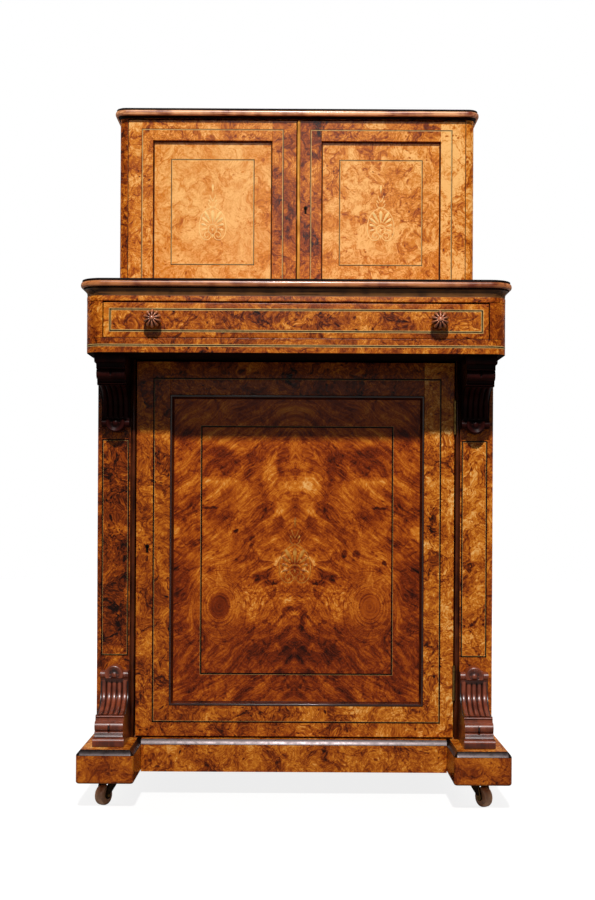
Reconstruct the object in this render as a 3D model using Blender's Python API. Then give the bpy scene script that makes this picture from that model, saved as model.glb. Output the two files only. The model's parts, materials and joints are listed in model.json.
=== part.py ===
"""Victorian walnut ladies desk.

A cupboard pedestal on a castored plinth carries an overhanging drawer case on carved brackets,
and a shallow two-door cabinet stands at the back of the desk top.  Metres, +Z up, front to -Y.
The origin is on the floor, under the middle of the desk.
"""

import math

import bmesh
import bpy
from mathutils import Matrix, Vector

# Fits
SEAT = 0.0003                   # between pieces that touch
PIN_PLAY = 0.0003               # round a pin in its hole
DOOR_GAP = 0.002                # round the cupboard door
UPPER_DOOR_GAP = 0.0018         # between an upper door and its corner post
MEETING_GAP = 0.002             # between the two upper doors
DRAWER_PLAY = 0.0008            # beside and above the drawer
CORNER_STEPS = 6                # facets in a rounded corner
MOULDING_STEPS = 6              # facets in a nosing or a cove
CARVING_STEPS = 8               # facets in a carved curve
ROUND_FACETS = 20               # facets round a turned piece
PIN_FACETS = 12                 # facets round a pin

# Castors
CASTOR_INSET = 0.054            # pivot from the ends of the runner
CASTOR_TURN = math.radians(30)  # how far the wheels are turned out
CASTOR_TRAIL = 0.013
WHEEL_RADIUS = 0.0155
WHEEL_WIDTH = 0.014
WHEEL_FACETS = 24
WHEEL_CROWN = 0.0022            # rounding of the tread's edges
AXLE_RADIUS = 0.0024
AXLE_END = 0.0008               # riveted end, proud of the cheek
CHEEK_THICKNESS = 0.0025
CHEEK_EYE_RADIUS = 0.0055
CHEEK_SHOULDER = 0.0098         # half length of a cheek at the boss
CHEEK_PLAY = 0.0005             # between wheel and cheek
PLATE_RADIUS = 0.019
PLATE_THICKNESS = 0.0022
BOSS_RIM = 0.0015               # boss outside the cheeks
BOSS_HEIGHT = 0.0052
BOSS_CLEARANCE = 0.001          # above the wheel
KING_PIN_RADIUS = 0.0034
KING_PIN_HEAD_RADIUS = 0.0052
KING_PIN_HEAD_HEIGHT = 0.0014

# Plinth
PLINTH_OUTSET = 0.0155          # beyond the pedestal's side
PLINTH_HEIGHT = 0.051
PLINTH_TOE = 0.028              # runner in front of the scroll foot
RUNNER_WIDTH = 0.0875
RUNNER_CORNER = 0.010
PLINTH_NOSING = 0.0035          # rounding of the top edge
PLINTH_RAIL_STEP = 0.015        # rail in front of the door
PLINTH_RAIL_THICKNESS = 0.024

# Pedestal
PEDESTAL_INSET = 0.006          # inside the drawer case's side
PEDESTAL_HEIGHT = 0.601
PEDESTAL_DEPTH = 0.410
PEDESTAL_SIDE = 0.018
PILASTER_WIDTH = 0.0595
PILASTER_THICKNESS = 0.024
PILASTER_BEAD_RADIUS = 0.003
PILASTER_QUIRK = 0.001          # groove beside the bead
PEDESTAL_FLOOR = 0.016
SHELF_THICKNESS = 0.014
SHELF_HEIGHT = 0.290            # top of the cupboard's shelf, above the plinth
SHELF_SETBACK = 0.030           # behind the door
HOUSING_DEPTH = 0.006           # groove that a shelf's end sits in
BACK_THICKNESS = 0.009

# Carved brackets
BRACKET_WIDTH = 0.0445
BRACKET_HEIGHT = 0.118
BRACKET_REACH = 0.092
BRACKET_CAP = 0.010             # square cap at the wide end
BRACKET_COVE = 0.008
BRACKET_ROLL_RADIUS = 0.0078
BRACKET_BAND = 0.012
BRACKET_CREST_RADIUS = 0.012
BRACKET_NECK = 0.021            # reach of the narrow end

# Cupboard door
DOOR_THICKNESS = 0.021
DOOR_STILE = 0.050
DOOR_RAIL = 0.053
DOOR_BOTTOM_GAP = 0.003
DOOR_TOP_GAP = 0.003
DOOR_SLOPE = 0.006              # sloping moulding round the panel
PANEL_RECESS = 0.009            # panel face behind the frame face
PANEL_THICKNESS = 0.007
PANEL_LAP = 0.008               # panel edge behind the frame
HINGE_LENGTH = 0.055
HINGE_LEAF = 0.0016
HINGE_LEAF_WIDTH = 0.018
HINGE_BARREL_RADIUS = 0.0025
HINGE_PIN_RADIUS = 0.0012
HINGE_PROUD = 0.001             # hinge axis in front of the door
HINGE_KNUCKLES = 5
HINGE_INSET = 0.086             # hinge middle, from the top or bottom of the door
CUPBOARD_KEY_INSET = 0.0175     # keyhole from the door's edge
CUPBOARD_KEY_HEIGHT = 0.301     # keyhole above the door's bottom
KEYHOLE_RADIUS = 0.0022
KEYHOLE_DROP = 0.0075
LOCK_WIDTH = 0.026
LOCK_HEIGHT = 0.048
LOCK_THICKNESS = 0.009
LOCK_ARRIS = 0.0008

# Drawer case
CASE_WIDTH = 0.640
CASE_DEPTH = 0.522
CASE_SIDE = 0.0268
CASE_POST_FLAT = 0.0008         # flat strip beside the drawer, inside the rounded corner
CASE_FLOOR = 0.0225
CASE_BACK = 0.012
DRAWER_OPENING = 0.0555
FRIEZE_RAIL = 0.0085            # plain part of the frieze
FRIEZE_COVE_HEIGHT = 0.010
FRIEZE_COVE_REACH = 0.005
FRIEZE_FILLET = 0.003
TOP_THICKNESS = 0.0125
TOP_OVERHANG = 0.0095

# Drawer
DRAWER_REAR_SPACE = 0.040       # behind the drawer
DRAWER_FRONT = 0.018
DRAWER_WALL = 0.010
DRAWER_WALL_DROP = 0.006        # sides lower than the front
DRAWER_BOTTOM = 0.006
DRAWER_BOTTOM_RISE = 0.007      # bottom board above the runners
DRAWER_GROOVE = 0.005
KNOB_INSET = 0.0759             # from the drawer's end
KNOB_RADIUS = 0.014
KNOB_REACH = 0.026
KNOB_FOOT_RADIUS = 0.0084
KNOB_FOOT_HEIGHT = 0.0052
KNOB_NECK_RADIUS = 0.007
KNOB_NECK_HEIGHT = 0.0083       # where the neck meets the rim
KNOB_RIM_WIDTH = 0.0063         # rounded part of the rim, along a radius
KNOB_BUTTON_RADIUS = 0.0058
KNOB_BUTTON_PROUD = 0.0027      # button's tip, in front of the rim
KNOB_BUTTON_ROUND = 0.003       # rounding of the button's edge
KNOB_LOBES = 10
KNOB_LOBE_DEPTH = 0.0016
KNOB_FACETS_PER_LOBE = 4

# Upper cabinet
UPPER_INSET = 0.0175            # inside the drawer case's side
UPPER_HEIGHT = 0.3157
UPPER_DEPTH = 0.240
UPPER_SIDE = 0.014
UPPER_POST_FLAT = 0.0015        # flat strip beside the door, inside the rounded corner
UPPER_SHELF_THICKNESS = 0.008
UPPER_SHELF_HEIGHT = 0.160      # top of the shelf, above the desk top
UPPER_SHELF_SETBACK = 0.020
UPPER_HOUSING = 0.005
CORNICE_COVE_HEIGHT = 0.002
CORNICE_COVE_REACH = 0.002
CORNICE_THICKNESS = 0.0136
CORNICE_OVERHANG = 0.008

# Upper doors
UPPER_DOOR_THICKNESS = 0.019
UPPER_DOOR_RISE = 0.003         # above the desk top
UPPER_DOOR_TOP_GAP = 0.0026     # below the cornice
UPPER_STILE = 0.041
UPPER_RAIL = 0.034
UPPER_PANEL_RECESS = 0.007
UPPER_PANEL_LAP = 0.007
MEETING_BEAD_WIDTH = 0.0044
MEETING_BEAD_PROUD = 0.0022
UPPER_KEY_INSET = 0.014
UPPER_KEY_HEIGHT = 0.161        # above the door's bottom
PIVOT_RADIUS = 0.0022
PIVOT_LENGTH = 0.010            # inside the door
PIVOT_EDGE = 0.009              # from the door's edge
PIVOT_FRONT = 0.0046            # from the door's face
PIVOT_PLATE_LENGTH = 0.026
PIVOT_PLATE_WIDTH = 0.0088
PIVOT_PLATE_THICKNESS = 0.0015

# Levels
BOSS_BASE = 2 * WHEEL_RADIUS + BOSS_CLEARANCE
BOSS_TOP = BOSS_BASE + BOSS_HEIGHT
PLATE_BASE = BOSS_TOP + SEAT
PLATE_TOP = PLATE_BASE + PLATE_THICKNESS
PLINTH_BASE = PLATE_TOP + SEAT
PEDESTAL_BASE = PLINTH_BASE + PLINTH_HEIGHT
CASE_BASE = PEDESTAL_BASE + PEDESTAL_HEIGHT
DRAWER_BASE = CASE_BASE + CASE_FLOOR
FRIEZE_BASE = DRAWER_BASE + DRAWER_OPENING
TOP_BASE = FRIEZE_BASE + FRIEZE_RAIL + FRIEZE_COVE_HEIGHT + FRIEZE_FILLET
UPPER_BASE = TOP_BASE + TOP_THICKNESS
CORNICE_BASE = UPPER_BASE + UPPER_HEIGHT

# Fronts and back, with the knobs' tips and the back as far from the origin as each other
BACK = (CASE_DEPTH + KNOB_REACH) / 2
PEDESTAL_FRONT = BACK - PEDESTAL_DEPTH
RUNNER_FRONT = PEDESTAL_FRONT - BRACKET_REACH - PLINTH_TOE
PLINTH_RAIL_FRONT = PEDESTAL_FRONT - PLINTH_RAIL_STEP
CASE_FRONT = BACK - CASE_DEPTH
UPPER_FRONT = BACK - UPPER_DEPTH

# Half widths and corners, all set by the drawer case's width
CASE_HALF = CASE_WIDTH / 2
CASE_CORNER = CASE_SIDE - CASE_POST_FLAT
PEDESTAL_HALF = CASE_HALF - PEDESTAL_INSET
PILASTER_INNER = PEDESTAL_HALF - PILASTER_WIDTH
PILASTER_MIDDLE = PEDESTAL_HALF - PILASTER_WIDTH / 2
DOOR_HALF = PILASTER_INNER - DOOR_GAP
PLINTH_HALF = PEDESTAL_HALF + PLINTH_OUTSET
RUNNER_INNER = PLINTH_HALF - RUNNER_WIDTH
UPPER_HALF = CASE_HALF - UPPER_INSET
UPPER_CORNER = UPPER_SIDE - UPPER_POST_FLAT
UPPER_DOOR_OUTER = UPPER_HALF - UPPER_SIDE - UPPER_DOOR_GAP
SIDES = ((-1, "left"), (1, "right"))


# Shapes

def arc(middle, radius, start, end, steps):
    """Points along an arc of a circle, or of an ellipse where radius is a pair, in degrees."""
    across, along = radius if isinstance(radius, tuple) else (radius, radius)
    points = []
    for step in range(steps + 1):
        angle = math.radians(start + (end - start) * step / steps)
        points.append((middle[0] + across * math.cos(angle), middle[1] + along * math.sin(angle)))
    return points


def in_plan(points, height):
    return [Vector((x, y, height)) for x, y in points]


def in_profile(points, x):
    return [Vector((x, y, z)) for y, z in points]


def in_front_view(points, y):
    return [Vector((x, y, z)) for x, z in points]


def prism(points, direction):
    """A flat outline pushed along a direction."""
    bm = bmesh.new()
    face = bm.faces.new([bm.verts.new(point) for point in points])
    pushed = bmesh.ops.extrude_face_region(bm, geom=[face])
    moved = [item for item in pushed["geom"] if isinstance(item, bmesh.types.BMVert)]
    bmesh.ops.translate(bm, verts=moved, vec=direction)
    bmesh.ops.recalc_face_normals(bm, faces=bm.faces)
    return bm


def box(x, y, z):
    """A board between two places on each axis."""
    bm = bmesh.new()
    middle = Vector((sum(x), sum(y), sum(z))) / 2
    size = (abs(x[1] - x[0]), abs(y[1] - y[0]), abs(z[1] - z[0]))
    bmesh.ops.create_cube(bm, size=1, matrix=Matrix.Translation(middle) @ Matrix.Diagonal((*size, 1)))
    return bm


def loft(loops):
    """Closed loops with as many points each, bridged in order and capped."""
    bm = bmesh.new()
    rings = []
    for points in loops:
        verts = [bm.verts.new(point) for point in points]
        rings.append([bm.edges.new((verts[index - 1], vert)) for index, vert in enumerate(verts)])
    for lower, upper in zip(rings, rings[1:]):
        bmesh.ops.bridge_loops(bm, edges=lower + upper)
    for ring in (rings[0], rings[-1]):
        bmesh.ops.edgeloop_fill(bm, edges=ring)
    bmesh.ops.recalc_face_normals(bm, faces=bm.faces)
    return bm


def turned(profile, facets, ring=False):
    """A (radius, height) profile spun about Z; a ring's profile is closed and off the axis."""
    bm = bmesh.new()
    verts = [bm.verts.new((radius, 0, height)) for radius, height in profile]
    edges = [bm.edges.new(pair) for pair in zip(verts, verts[1:])]
    if ring:
        edges.append(bm.edges.new((verts[-1], verts[0])))
    bmesh.ops.spin(bm, geom=verts + edges, axis=(0, 0, 1), cent=(0, 0, 0), angle=math.tau, steps=facets,
                   use_merge=True)
    bmesh.ops.remove_doubles(bm, verts=bm.verts, dist=1e-6)
    bmesh.ops.recalc_face_normals(bm, faces=bm.faces)
    return bm


def rod(radius, start, end, facets=PIN_FACETS):
    """A plain round rod between two heights."""
    return turned([(0, start), (radius, start), (radius, end), (0, end)], facets)


def moved(bm, place, turn=None):
    """Turn a shape about the origin, then put it in its place."""
    if turn is not None:
        bmesh.ops.rotate(bm, verts=bm.verts, cent=(0, 0, 0), matrix=turn)
    bmesh.ops.translate(bm, verts=bm.verts, vec=place)
    return bm


def together(shapes):
    """Several shapes that don't meet, as one cutter or one tool."""
    whole = bmesh.new()
    for shape in shapes:
        mesh = bpy.data.meshes.new("shape")
        shape.to_mesh(mesh)
        shape.free()
        whole.from_mesh(mesh)
        bpy.data.meshes.remove(mesh)
    return whole


def round_front_outline(half_width, front, back, radius):
    """Plan of a board with a straight back and two rounded front corners."""
    left = arc((radius - half_width, front + radius), radius, 180, 270, CORNER_STEPS)
    right = arc((half_width - radius, front + radius), radius, 270, 360, CORNER_STEPS)
    return left + right + [(half_width, back), (-half_width, back)]


def moulded_board(half_width, front, back, radius, profile):
    """A board whose front and side edges follow an (outset, height) profile."""
    loops = []
    for outset, height in profile:
        outline = round_front_outline(half_width + outset, front - outset, back, radius + outset)
        loops.append(in_plan(outline, height))
    return loft(loops)


def nosing(base, thickness, overhang):
    """Half-round edge profile of a board."""
    radius = thickness / 2
    return arc((overhang - radius, base + radius), radius, -90, 90, MOULDING_STEPS)


def cove(base, reach, height):
    """Hollow edge profile that spreads from a face up to the board above."""
    return arc((reach, base), (reach, height), 180, 90, MOULDING_STEPS)


def keyhole(x, z, front, back):
    """Cutter for a keyhole, a round hole with a slot under it."""
    slot = KEYHOLE_RADIUS / 2
    turn = math.degrees(math.acos(slot / KEYHOLE_RADIUS))
    outline = arc((x, z), KEYHOLE_RADIUS, -turn, 180 + turn, CARVING_STEPS)
    outline += [(x - slot, z - KEYHOLE_DROP), (x + slot, z - KEYHOLE_DROP)]
    return prism(in_front_view(outline, front), Vector((0, back - front, 0)))


# Objects and finishes

def finish(name, colour, roughness, metallic=0.0):
    """One plain finish for the pieces of one material."""
    material = bpy.data.materials.new(name)
    material.use_nodes = True
    shader = material.node_tree.nodes["Principled BSDF"]
    shader.inputs["Base Color"].default_value = (*colour, 1)
    shader.inputs["Roughness"].default_value = roughness
    shader.inputs["Metallic"].default_value = metallic
    return material


def piece(name, bm, material, smooth=False):
    """A named object from a shape."""
    mesh = bpy.data.meshes.new(name)
    bm.to_mesh(mesh)
    bm.free()
    mesh.materials.append(material)
    if smooth:
        mesh.shade_smooth()
        mesh.set_sharp_from_angle(angle=math.radians(35))
    thing = bpy.data.objects.new(name, mesh)
    bpy.context.scene.collection.objects.link(thing)
    return thing


def work(thing, bm, operation, purpose):
    """Cut a shape out of a piece, or join one to it."""
    tool = piece(f"{thing.name}_{purpose}", bm, thing.data.materials[0])
    tool.hide_render = True
    tool.display_type = "WIRE"
    tool.parent = thing
    step = thing.modifiers.new(purpose, "BOOLEAN")
    step.operation = operation
    step.solver = "EXACT"
    step.object = tool


def carry(name, place, pieces):
    """Hang pieces on an empty that stands on their joint."""
    joint = bpy.data.objects.new(name, None)
    joint.location = place
    bpy.context.scene.collection.objects.link(joint)
    for thing in pieces:
        thing.parent = joint
        thing.matrix_parent_inverse = Matrix.Translation(place).inverted()


# Castors

def castor_plate(name, material):
    """Round plate under the runner, with the riveted pin that the horn turns on."""
    head = BOSS_BASE + SEAT
    shoulder = head + KING_PIN_HEAD_HEIGHT
    profile = [(0, PLATE_TOP), (PLATE_RADIUS, PLATE_TOP), (PLATE_RADIUS, PLATE_BASE)]
    profile += [(KING_PIN_RADIUS, PLATE_BASE), (KING_PIN_RADIUS, shoulder)]
    profile += [(KING_PIN_HEAD_RADIUS, shoulder), (KING_PIN_HEAD_RADIUS, head), (0, head)]
    return piece(name, turned(profile, ROUND_FACETS), material, smooth=True)


def castor_horn(name, material):
    """Horn: a boss round the pin, two cheeks and the axle."""
    inner = WHEEL_WIDTH / 2 + CHEEK_PLAY
    outer = inner + CHEEK_THICKNESS
    horn = piece(name, rod(outer + BOSS_RIM, BOSS_BASE, BOSS_TOP, ROUND_FACETS), material, smooth=True)
    outline = [(-CHEEK_SHOULDER, BOSS_TOP), (CHEEK_SHOULDER, BOSS_TOP), (CHEEK_SHOULDER, BOSS_BASE)]
    outline += arc((-CASTOR_TRAIL, WHEEL_RADIUS), CHEEK_EYE_RADIUS, 20, -180, CARVING_STEPS)
    outline += [(-CHEEK_SHOULDER - CHEEK_THICKNESS, BOSS_BASE)]
    cheeks = []
    for side, _ in SIDES:
        cheeks.append(prism(in_profile(outline, side * inner), Vector((side * (outer - inner), 0, 0))))
    work(horn, together(cheeks), "UNION", "cheeks")
    axle = rod(AXLE_RADIUS, -outer - AXLE_END, outer + AXLE_END)
    along_x = Matrix.Rotation(math.pi / 2, 3, "Y")
    work(horn, moved(axle, (0, -CASTOR_TRAIL, WHEEL_RADIUS), along_x), "UNION", "axle")
    bore = KING_PIN_RADIUS + PIN_PLAY
    sink = KING_PIN_HEAD_RADIUS + PIN_PLAY
    ledge = BOSS_BASE + 2 * SEAT + KING_PIN_HEAD_HEIGHT
    above = BOSS_TOP + SEAT
    below = BOSS_BASE - SEAT
    profile = [(0, above), (bore, above), (bore, ledge), (sink, ledge), (sink, below), (0, below)]
    work(horn, turned(profile, ROUND_FACETS), "DIFFERENCE", "pin_hole")
    return horn


def castor_wheel(name, material):
    """Wheel with a crowned tread, standing on one of its facets."""
    rim = WHEEL_RADIUS / math.cos(math.pi / WHEEL_FACETS)
    bore = AXLE_RADIUS + PIN_PLAY
    half = WHEEL_WIDTH / 2
    tread = half - WHEEL_CROWN
    profile = [(bore, -half), (rim - WHEEL_CROWN, -half), (rim, -tread)]
    profile += [(rim, tread), (rim - WHEEL_CROWN, half), (bore, half)]
    wheel = turned(profile, WHEEL_FACETS, ring=True)
    half_facet = Matrix.Rotation(math.pi / WHEEL_FACETS, 3, "Z")
    along_x = Matrix.Rotation(math.pi / 2, 3, "Y")
    return piece(name, moved(wheel, (0, 0, 0), along_x @ half_facet), material, smooth=True)


def castors(brass, ceramic):
    """Four castors, the front pair turned out to the front and the back pair to the back."""
    middle = PLINTH_HALF - RUNNER_WIDTH / 2
    for end, y in (("front", RUNNER_FRONT + CASTOR_INSET), ("back", BACK - CASTOR_INSET)):
        for side, hand in SIDES:
            corner = f"{end}_{hand}"
            pivot = bpy.data.objects.new(f"castor_pivot_{corner}", None)
            pivot.location = (side * middle, y, 0)
            turn = side * CASTOR_TURN
            pivot.rotation_euler.z = turn if end == "front" else math.pi - turn
            bpy.context.scene.collection.objects.link(pivot)
            castor_plate(f"castor_plate_{corner}", brass).parent = pivot
            castor_horn(f"castor_horn_{corner}", brass).parent = pivot
            wheel = castor_wheel(f"castor_wheel_{corner}", ceramic)
            wheel.location = (0, -CASTOR_TRAIL, WHEEL_RADIUS)
            wheel.parent = pivot


# Plinth and pedestal

def rounded_top(bm, height, back, radius):
    """Round the top edges of a plinth piece, apart from the edge at its back."""
    edges = []
    for edge in bm.edges:
        ends = [vert.co for vert in edge.verts]
        on_top = all(abs(end.z - height) < SEAT for end in ends)
        at_back = all(abs(end.y - back) < SEAT for end in ends)
        if on_top and not at_back:
            edges.append(edge)
    bmesh.ops.bevel(bm, geom=edges, offset=radius, segments=3, profile=0.5, affect="EDGES")
    return bm


def plinth(walnut):
    """Two runners, which come forward as feet, and the rail between them."""
    span = (PLINTH_BASE, PEDESTAL_BASE)
    for side, hand in SIDES:
        half = RUNNER_WIDTH / 2
        middle = Vector((side * (PLINTH_HALF - half), 0, 0))
        outline = round_front_outline(half, RUNNER_FRONT, BACK, RUNNER_CORNER)
        runner = prism(in_plan(outline, span[0]), Vector((0, 0, PLINTH_HEIGHT)))
        runner = moved(rounded_top(runner, span[1], BACK, PLINTH_NOSING), middle)
        piece(f"plinth_runner_{hand}", runner, walnut, smooth=True)
    reach = RUNNER_INNER - SEAT
    depth = (PLINTH_RAIL_FRONT, PLINTH_RAIL_FRONT + PLINTH_RAIL_THICKNESS)
    rail = box((-reach, reach), depth, span)
    front_top = [edge for edge in rail.edges
                 if all(abs(vert.co.y - depth[0]) < SEAT and abs(vert.co.z - span[1]) < SEAT
                        for vert in edge.verts)]
    bmesh.ops.bevel(rail, geom=front_top, offset=PLINTH_NOSING, segments=3, profile=0.5, affect="EDGES")
    piece("plinth_front_rail", rail, walnut, smooth=True)


def pilaster(side, hand, walnut):
    """Pilaster with a bead worked on its inner edge."""
    bead = PILASTER_BEAD_RADIUS
    back = PEDESTAL_FRONT + PILASTER_THICKNESS
    floor_of_quirk = PEDESTAL_FRONT + bead
    flat = PILASTER_INNER + 2 * bead + PILASTER_QUIRK
    outline = [(PEDESTAL_HALF, back), (PILASTER_INNER, back)]
    outline += arc((PILASTER_INNER + bead, floor_of_quirk), bead, 180, 360, CARVING_STEPS)
    outline += [(flat, floor_of_quirk), (flat, PEDESTAL_FRONT), (PEDESTAL_HALF, PEDESTAL_FRONT)]
    points = in_plan([(side * x, y) for x, y in outline], PEDESTAL_BASE + SEAT)
    return piece(f"pilaster_{hand}", prism(points, Vector((0, 0, PEDESTAL_HEIGHT - SEAT))), walnut)


def pedestal(walnut, carcase):
    """Sides, back, floor, pilasters and the cupboard's shelf; gives back the right pilaster."""
    span = (PEDESTAL_BASE + SEAT, CASE_BASE)
    inner = PEDESTAL_HALF - PEDESTAL_SIDE
    behind_pilaster = PEDESTAL_FRONT + PILASTER_THICKNESS + SEAT
    back_face = BACK - BACK_THICKNESS
    behind_door = PEDESTAL_FRONT + DOOR_THICKNESS
    shelf = (PEDESTAL_BASE + SHELF_HEIGHT - SHELF_THICKNESS, PEDESTAL_BASE + SHELF_HEIGHT)
    shelf_depth = (behind_door + SHELF_SETBACK, back_face - SEAT)
    for side, hand in SIDES:
        board = box((side * inner, side * PEDESTAL_HALF), (behind_pilaster, BACK), span)
        board = piece(f"pedestal_side_{hand}", board, walnut)
        groove = box((side * (inner - SEAT), side * (inner + HOUSING_DEPTH)),
                     (shelf_depth[0] - SEAT, BACK - BACK_THICKNESS),
                     (shelf[0] - SEAT, shelf[1] + SEAT))
        work(board, groove, "DIFFERENCE", "shelf_housing")
        post = pilaster(side, hand, walnut)
    reach = inner - SEAT
    piece("pedestal_back", box((-reach, reach), (back_face, BACK), span), carcase)
    floor = (PEDESTAL_BASE + SEAT, PEDESTAL_BASE + PEDESTAL_FLOOR)
    floor_front = max(behind_pilaster, behind_door + SEAT)
    piece("pedestal_floor", box((-reach, reach), (floor_front, back_face - SEAT), floor), carcase)
    shelf_end = inner + HOUSING_DEPTH - SEAT
    piece("cupboard_shelf", box((-shelf_end, shelf_end), shelf_depth, shelf), carcase)
    return post


def bracket_profile():
    """(reach, height) outline of a carved bracket, from the wide end up to the crest."""
    roll = BRACKET_ROLL_RADIUS
    cap = BRACKET_CAP
    roll_base = cap + BRACKET_COVE
    roll_reach = BRACKET_REACH - BRACKET_COVE - roll
    hollow_base = roll_base + 2 * roll + BRACKET_BAND
    crest_base = BRACKET_HEIGHT - 2 * BRACKET_CREST_RADIUS
    hollow = roll_reach - roll - BRACKET_NECK
    points = [(0, 0), (BRACKET_REACH, 0), (BRACKET_REACH, cap)]
    points += arc((BRACKET_REACH, roll_base), BRACKET_COVE, 270, 180, MOULDING_STEPS)
    points += arc((roll_reach, roll_base + roll), roll, -60, 100, CARVING_STEPS)
    points += arc((BRACKET_NECK + hollow, crest_base), (hollow, crest_base - hollow_base), 270, 180,
                  CARVING_STEPS)
    points += arc((BRACKET_NECK - BRACKET_CREST_RADIUS / 2, BRACKET_HEIGHT - BRACKET_CREST_RADIUS),
                  BRACKET_CREST_RADIUS, -45, 90, CARVING_STEPS)
    return points + [(0, BRACKET_HEIGHT)]


def brackets(carved):
    """Scroll feet on the runners, and the same bracket the other way up under the drawer case."""
    face = PEDESTAL_FRONT - SEAT
    for side, hand in SIDES:
        start = side * PILASTER_MIDDLE - BRACKET_WIDTH / 2
        across = Vector((BRACKET_WIDTH, 0, 0))
        foot = [(face - reach, PEDESTAL_BASE + SEAT + height) for reach, height in bracket_profile()]
        piece(f"scroll_foot_{hand}", prism(in_profile(foot, start), across), carved, smooth=True)
        console = [(face - reach, CASE_BASE - height) for reach, height in bracket_profile()]
        piece(f"console_{hand}", prism(in_profile(console, start), across), carved, smooth=True)


# Doors

def door_frame(name, x, front, z, thickness, stile, rail, slope, recess, lap, material):
    """A framed door, rebated at the back for its panel; gives back the frame and its opening."""
    slab = piece(name, box(x, (front, front + thickness), z), material)
    opening = (x[0] + stile, x[1] - stile, z[0] + rail, z[1] - rail)
    seat_of_panel = recess - SEAT
    past_back = thickness + SEAT
    loops = []
    for y, inset in ((-SEAT, 0), (0, 0), (seat_of_panel, slope), (past_back, slope)):
        loops.append(in_front_view(rectangle(opening, -inset), front + y))
    work(slab, loft(loops), "DIFFERENCE", "opening")
    rebate = in_front_view(rectangle(opening, lap + SEAT), front + seat_of_panel)
    work(slab, prism(rebate, Vector((0, past_back - seat_of_panel, 0))), "DIFFERENCE", "rebate")
    return slab, opening


def rectangle(opening, outset):
    """Corners of an opening, spread by an outset."""
    left, right, bottom, top = opening
    left, right = left - outset, right + outset
    bottom, top = bottom - outset, top + outset
    return [(left, bottom), (right, bottom), (right, top), (left, top)]


def door_panel(name, opening, front, recess, lap, material):
    """A panel in the rebate behind its frame."""
    left, right, bottom, top = opening
    depth = (front + recess, front + recess + PANEL_THICKNESS)
    return piece(name, box((left - lap, right + lap), depth, (bottom - lap, top + lap)), material)


def door_lock(name, frame, x, z, front, thickness, iron):
    """A lock let into the back of a stile, and the keyhole in front of it."""
    back = front + thickness
    half = (LOCK_WIDTH / 2, LOCK_HEIGHT / 2)
    depth = (back - LOCK_THICKNESS, back)
    mortise = box((x - half[0] - SEAT, x + half[0] + SEAT), (depth[0] - SEAT, back + SEAT),
                  (z - half[1] - SEAT, z + half[1] + SEAT))
    work(frame, mortise, "DIFFERENCE", "mortise")
    work(frame, keyhole(x, z, front - SEAT, depth[0]), "DIFFERENCE", "keyhole")
    body = box((x - half[0], x + half[0]), depth, (z - half[1], z + half[1]))
    bmesh.ops.bevel(body, geom=body.edges, offset=LOCK_ARRIS, segments=1, profile=0.5, affect="EDGES")
    return piece(name, body, iron)


def hinge_knuckles(axis, middle, side, first):
    """Every second knuckle of a hinge, with the tongue that joins it to its leaf."""
    length = HINGE_LENGTH / HINGE_KNUCKLES
    barrel = HINGE_BARREL_RADIUS
    near = side * SEAT / 2
    far = side * (SEAT / 2 + HINGE_LEAF)
    tongue = barrel + HINGE_LEAF
    shapes = []
    for number in range(first, HINGE_KNUCKLES, 2):
        base = middle - HINGE_LENGTH / 2 + number * length + SEAT / 2
        start = math.degrees(math.acos(near / barrel))
        end = math.degrees(math.acos(far / barrel))
        outline = [(near, tongue), (far, tongue)]
        outline += arc((0, 0), barrel, end, start - side * 360, PIN_FACETS)
        points = in_plan([(axis[0] + x, axis[1] + y) for x, y in outline], base)
        shapes.append(prism(points, Vector((0, 0, length - SEAT))))
    return together(shapes)


def hinge_leaf(name, axis, middle, side, first, brass):
    """One leaf of a butt hinge, on the case (side 1) or on the door (side -1)."""
    start = axis[1] + HINGE_BARREL_RADIUS + SEAT
    plate = box((axis[0] + side * SEAT / 2, axis[0] + side * (SEAT / 2 + HINGE_LEAF)),
                (start, axis[1] + HINGE_LEAF_WIDTH),
                (middle - HINGE_LENGTH / 2, middle + HINGE_LENGTH / 2))
    leaf = piece(name, plate, brass)
    work(leaf, hinge_knuckles(axis, middle, side, first), "UNION", "knuckles")
    return leaf


def hinge_housing(axis, middle, side):
    """Cutter that lets one leaf and the barrel into the wood."""
    reach = side * (HINGE_BARREL_RADIUS + SEAT)
    leaf = side * (SEAT / 2 + HINGE_LEAF + SEAT)
    past = side * -SEAT
    front = axis[1] - HINGE_BARREL_RADIUS - SEAT
    barrel_back = axis[1] + HINGE_BARREL_RADIUS + SEAT
    back = axis[1] + HINGE_LEAF_WIDTH + SEAT
    outline = [(past, front), (reach, front), (reach, barrel_back), (leaf, barrel_back)]
    outline += [(leaf, back), (past, back)]
    half = HINGE_LENGTH / 2 + SEAT
    points = in_plan([(axis[0] + x, y) for x, y in outline], middle - half)
    return prism(points, Vector((0, 0, 2 * half)))


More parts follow.
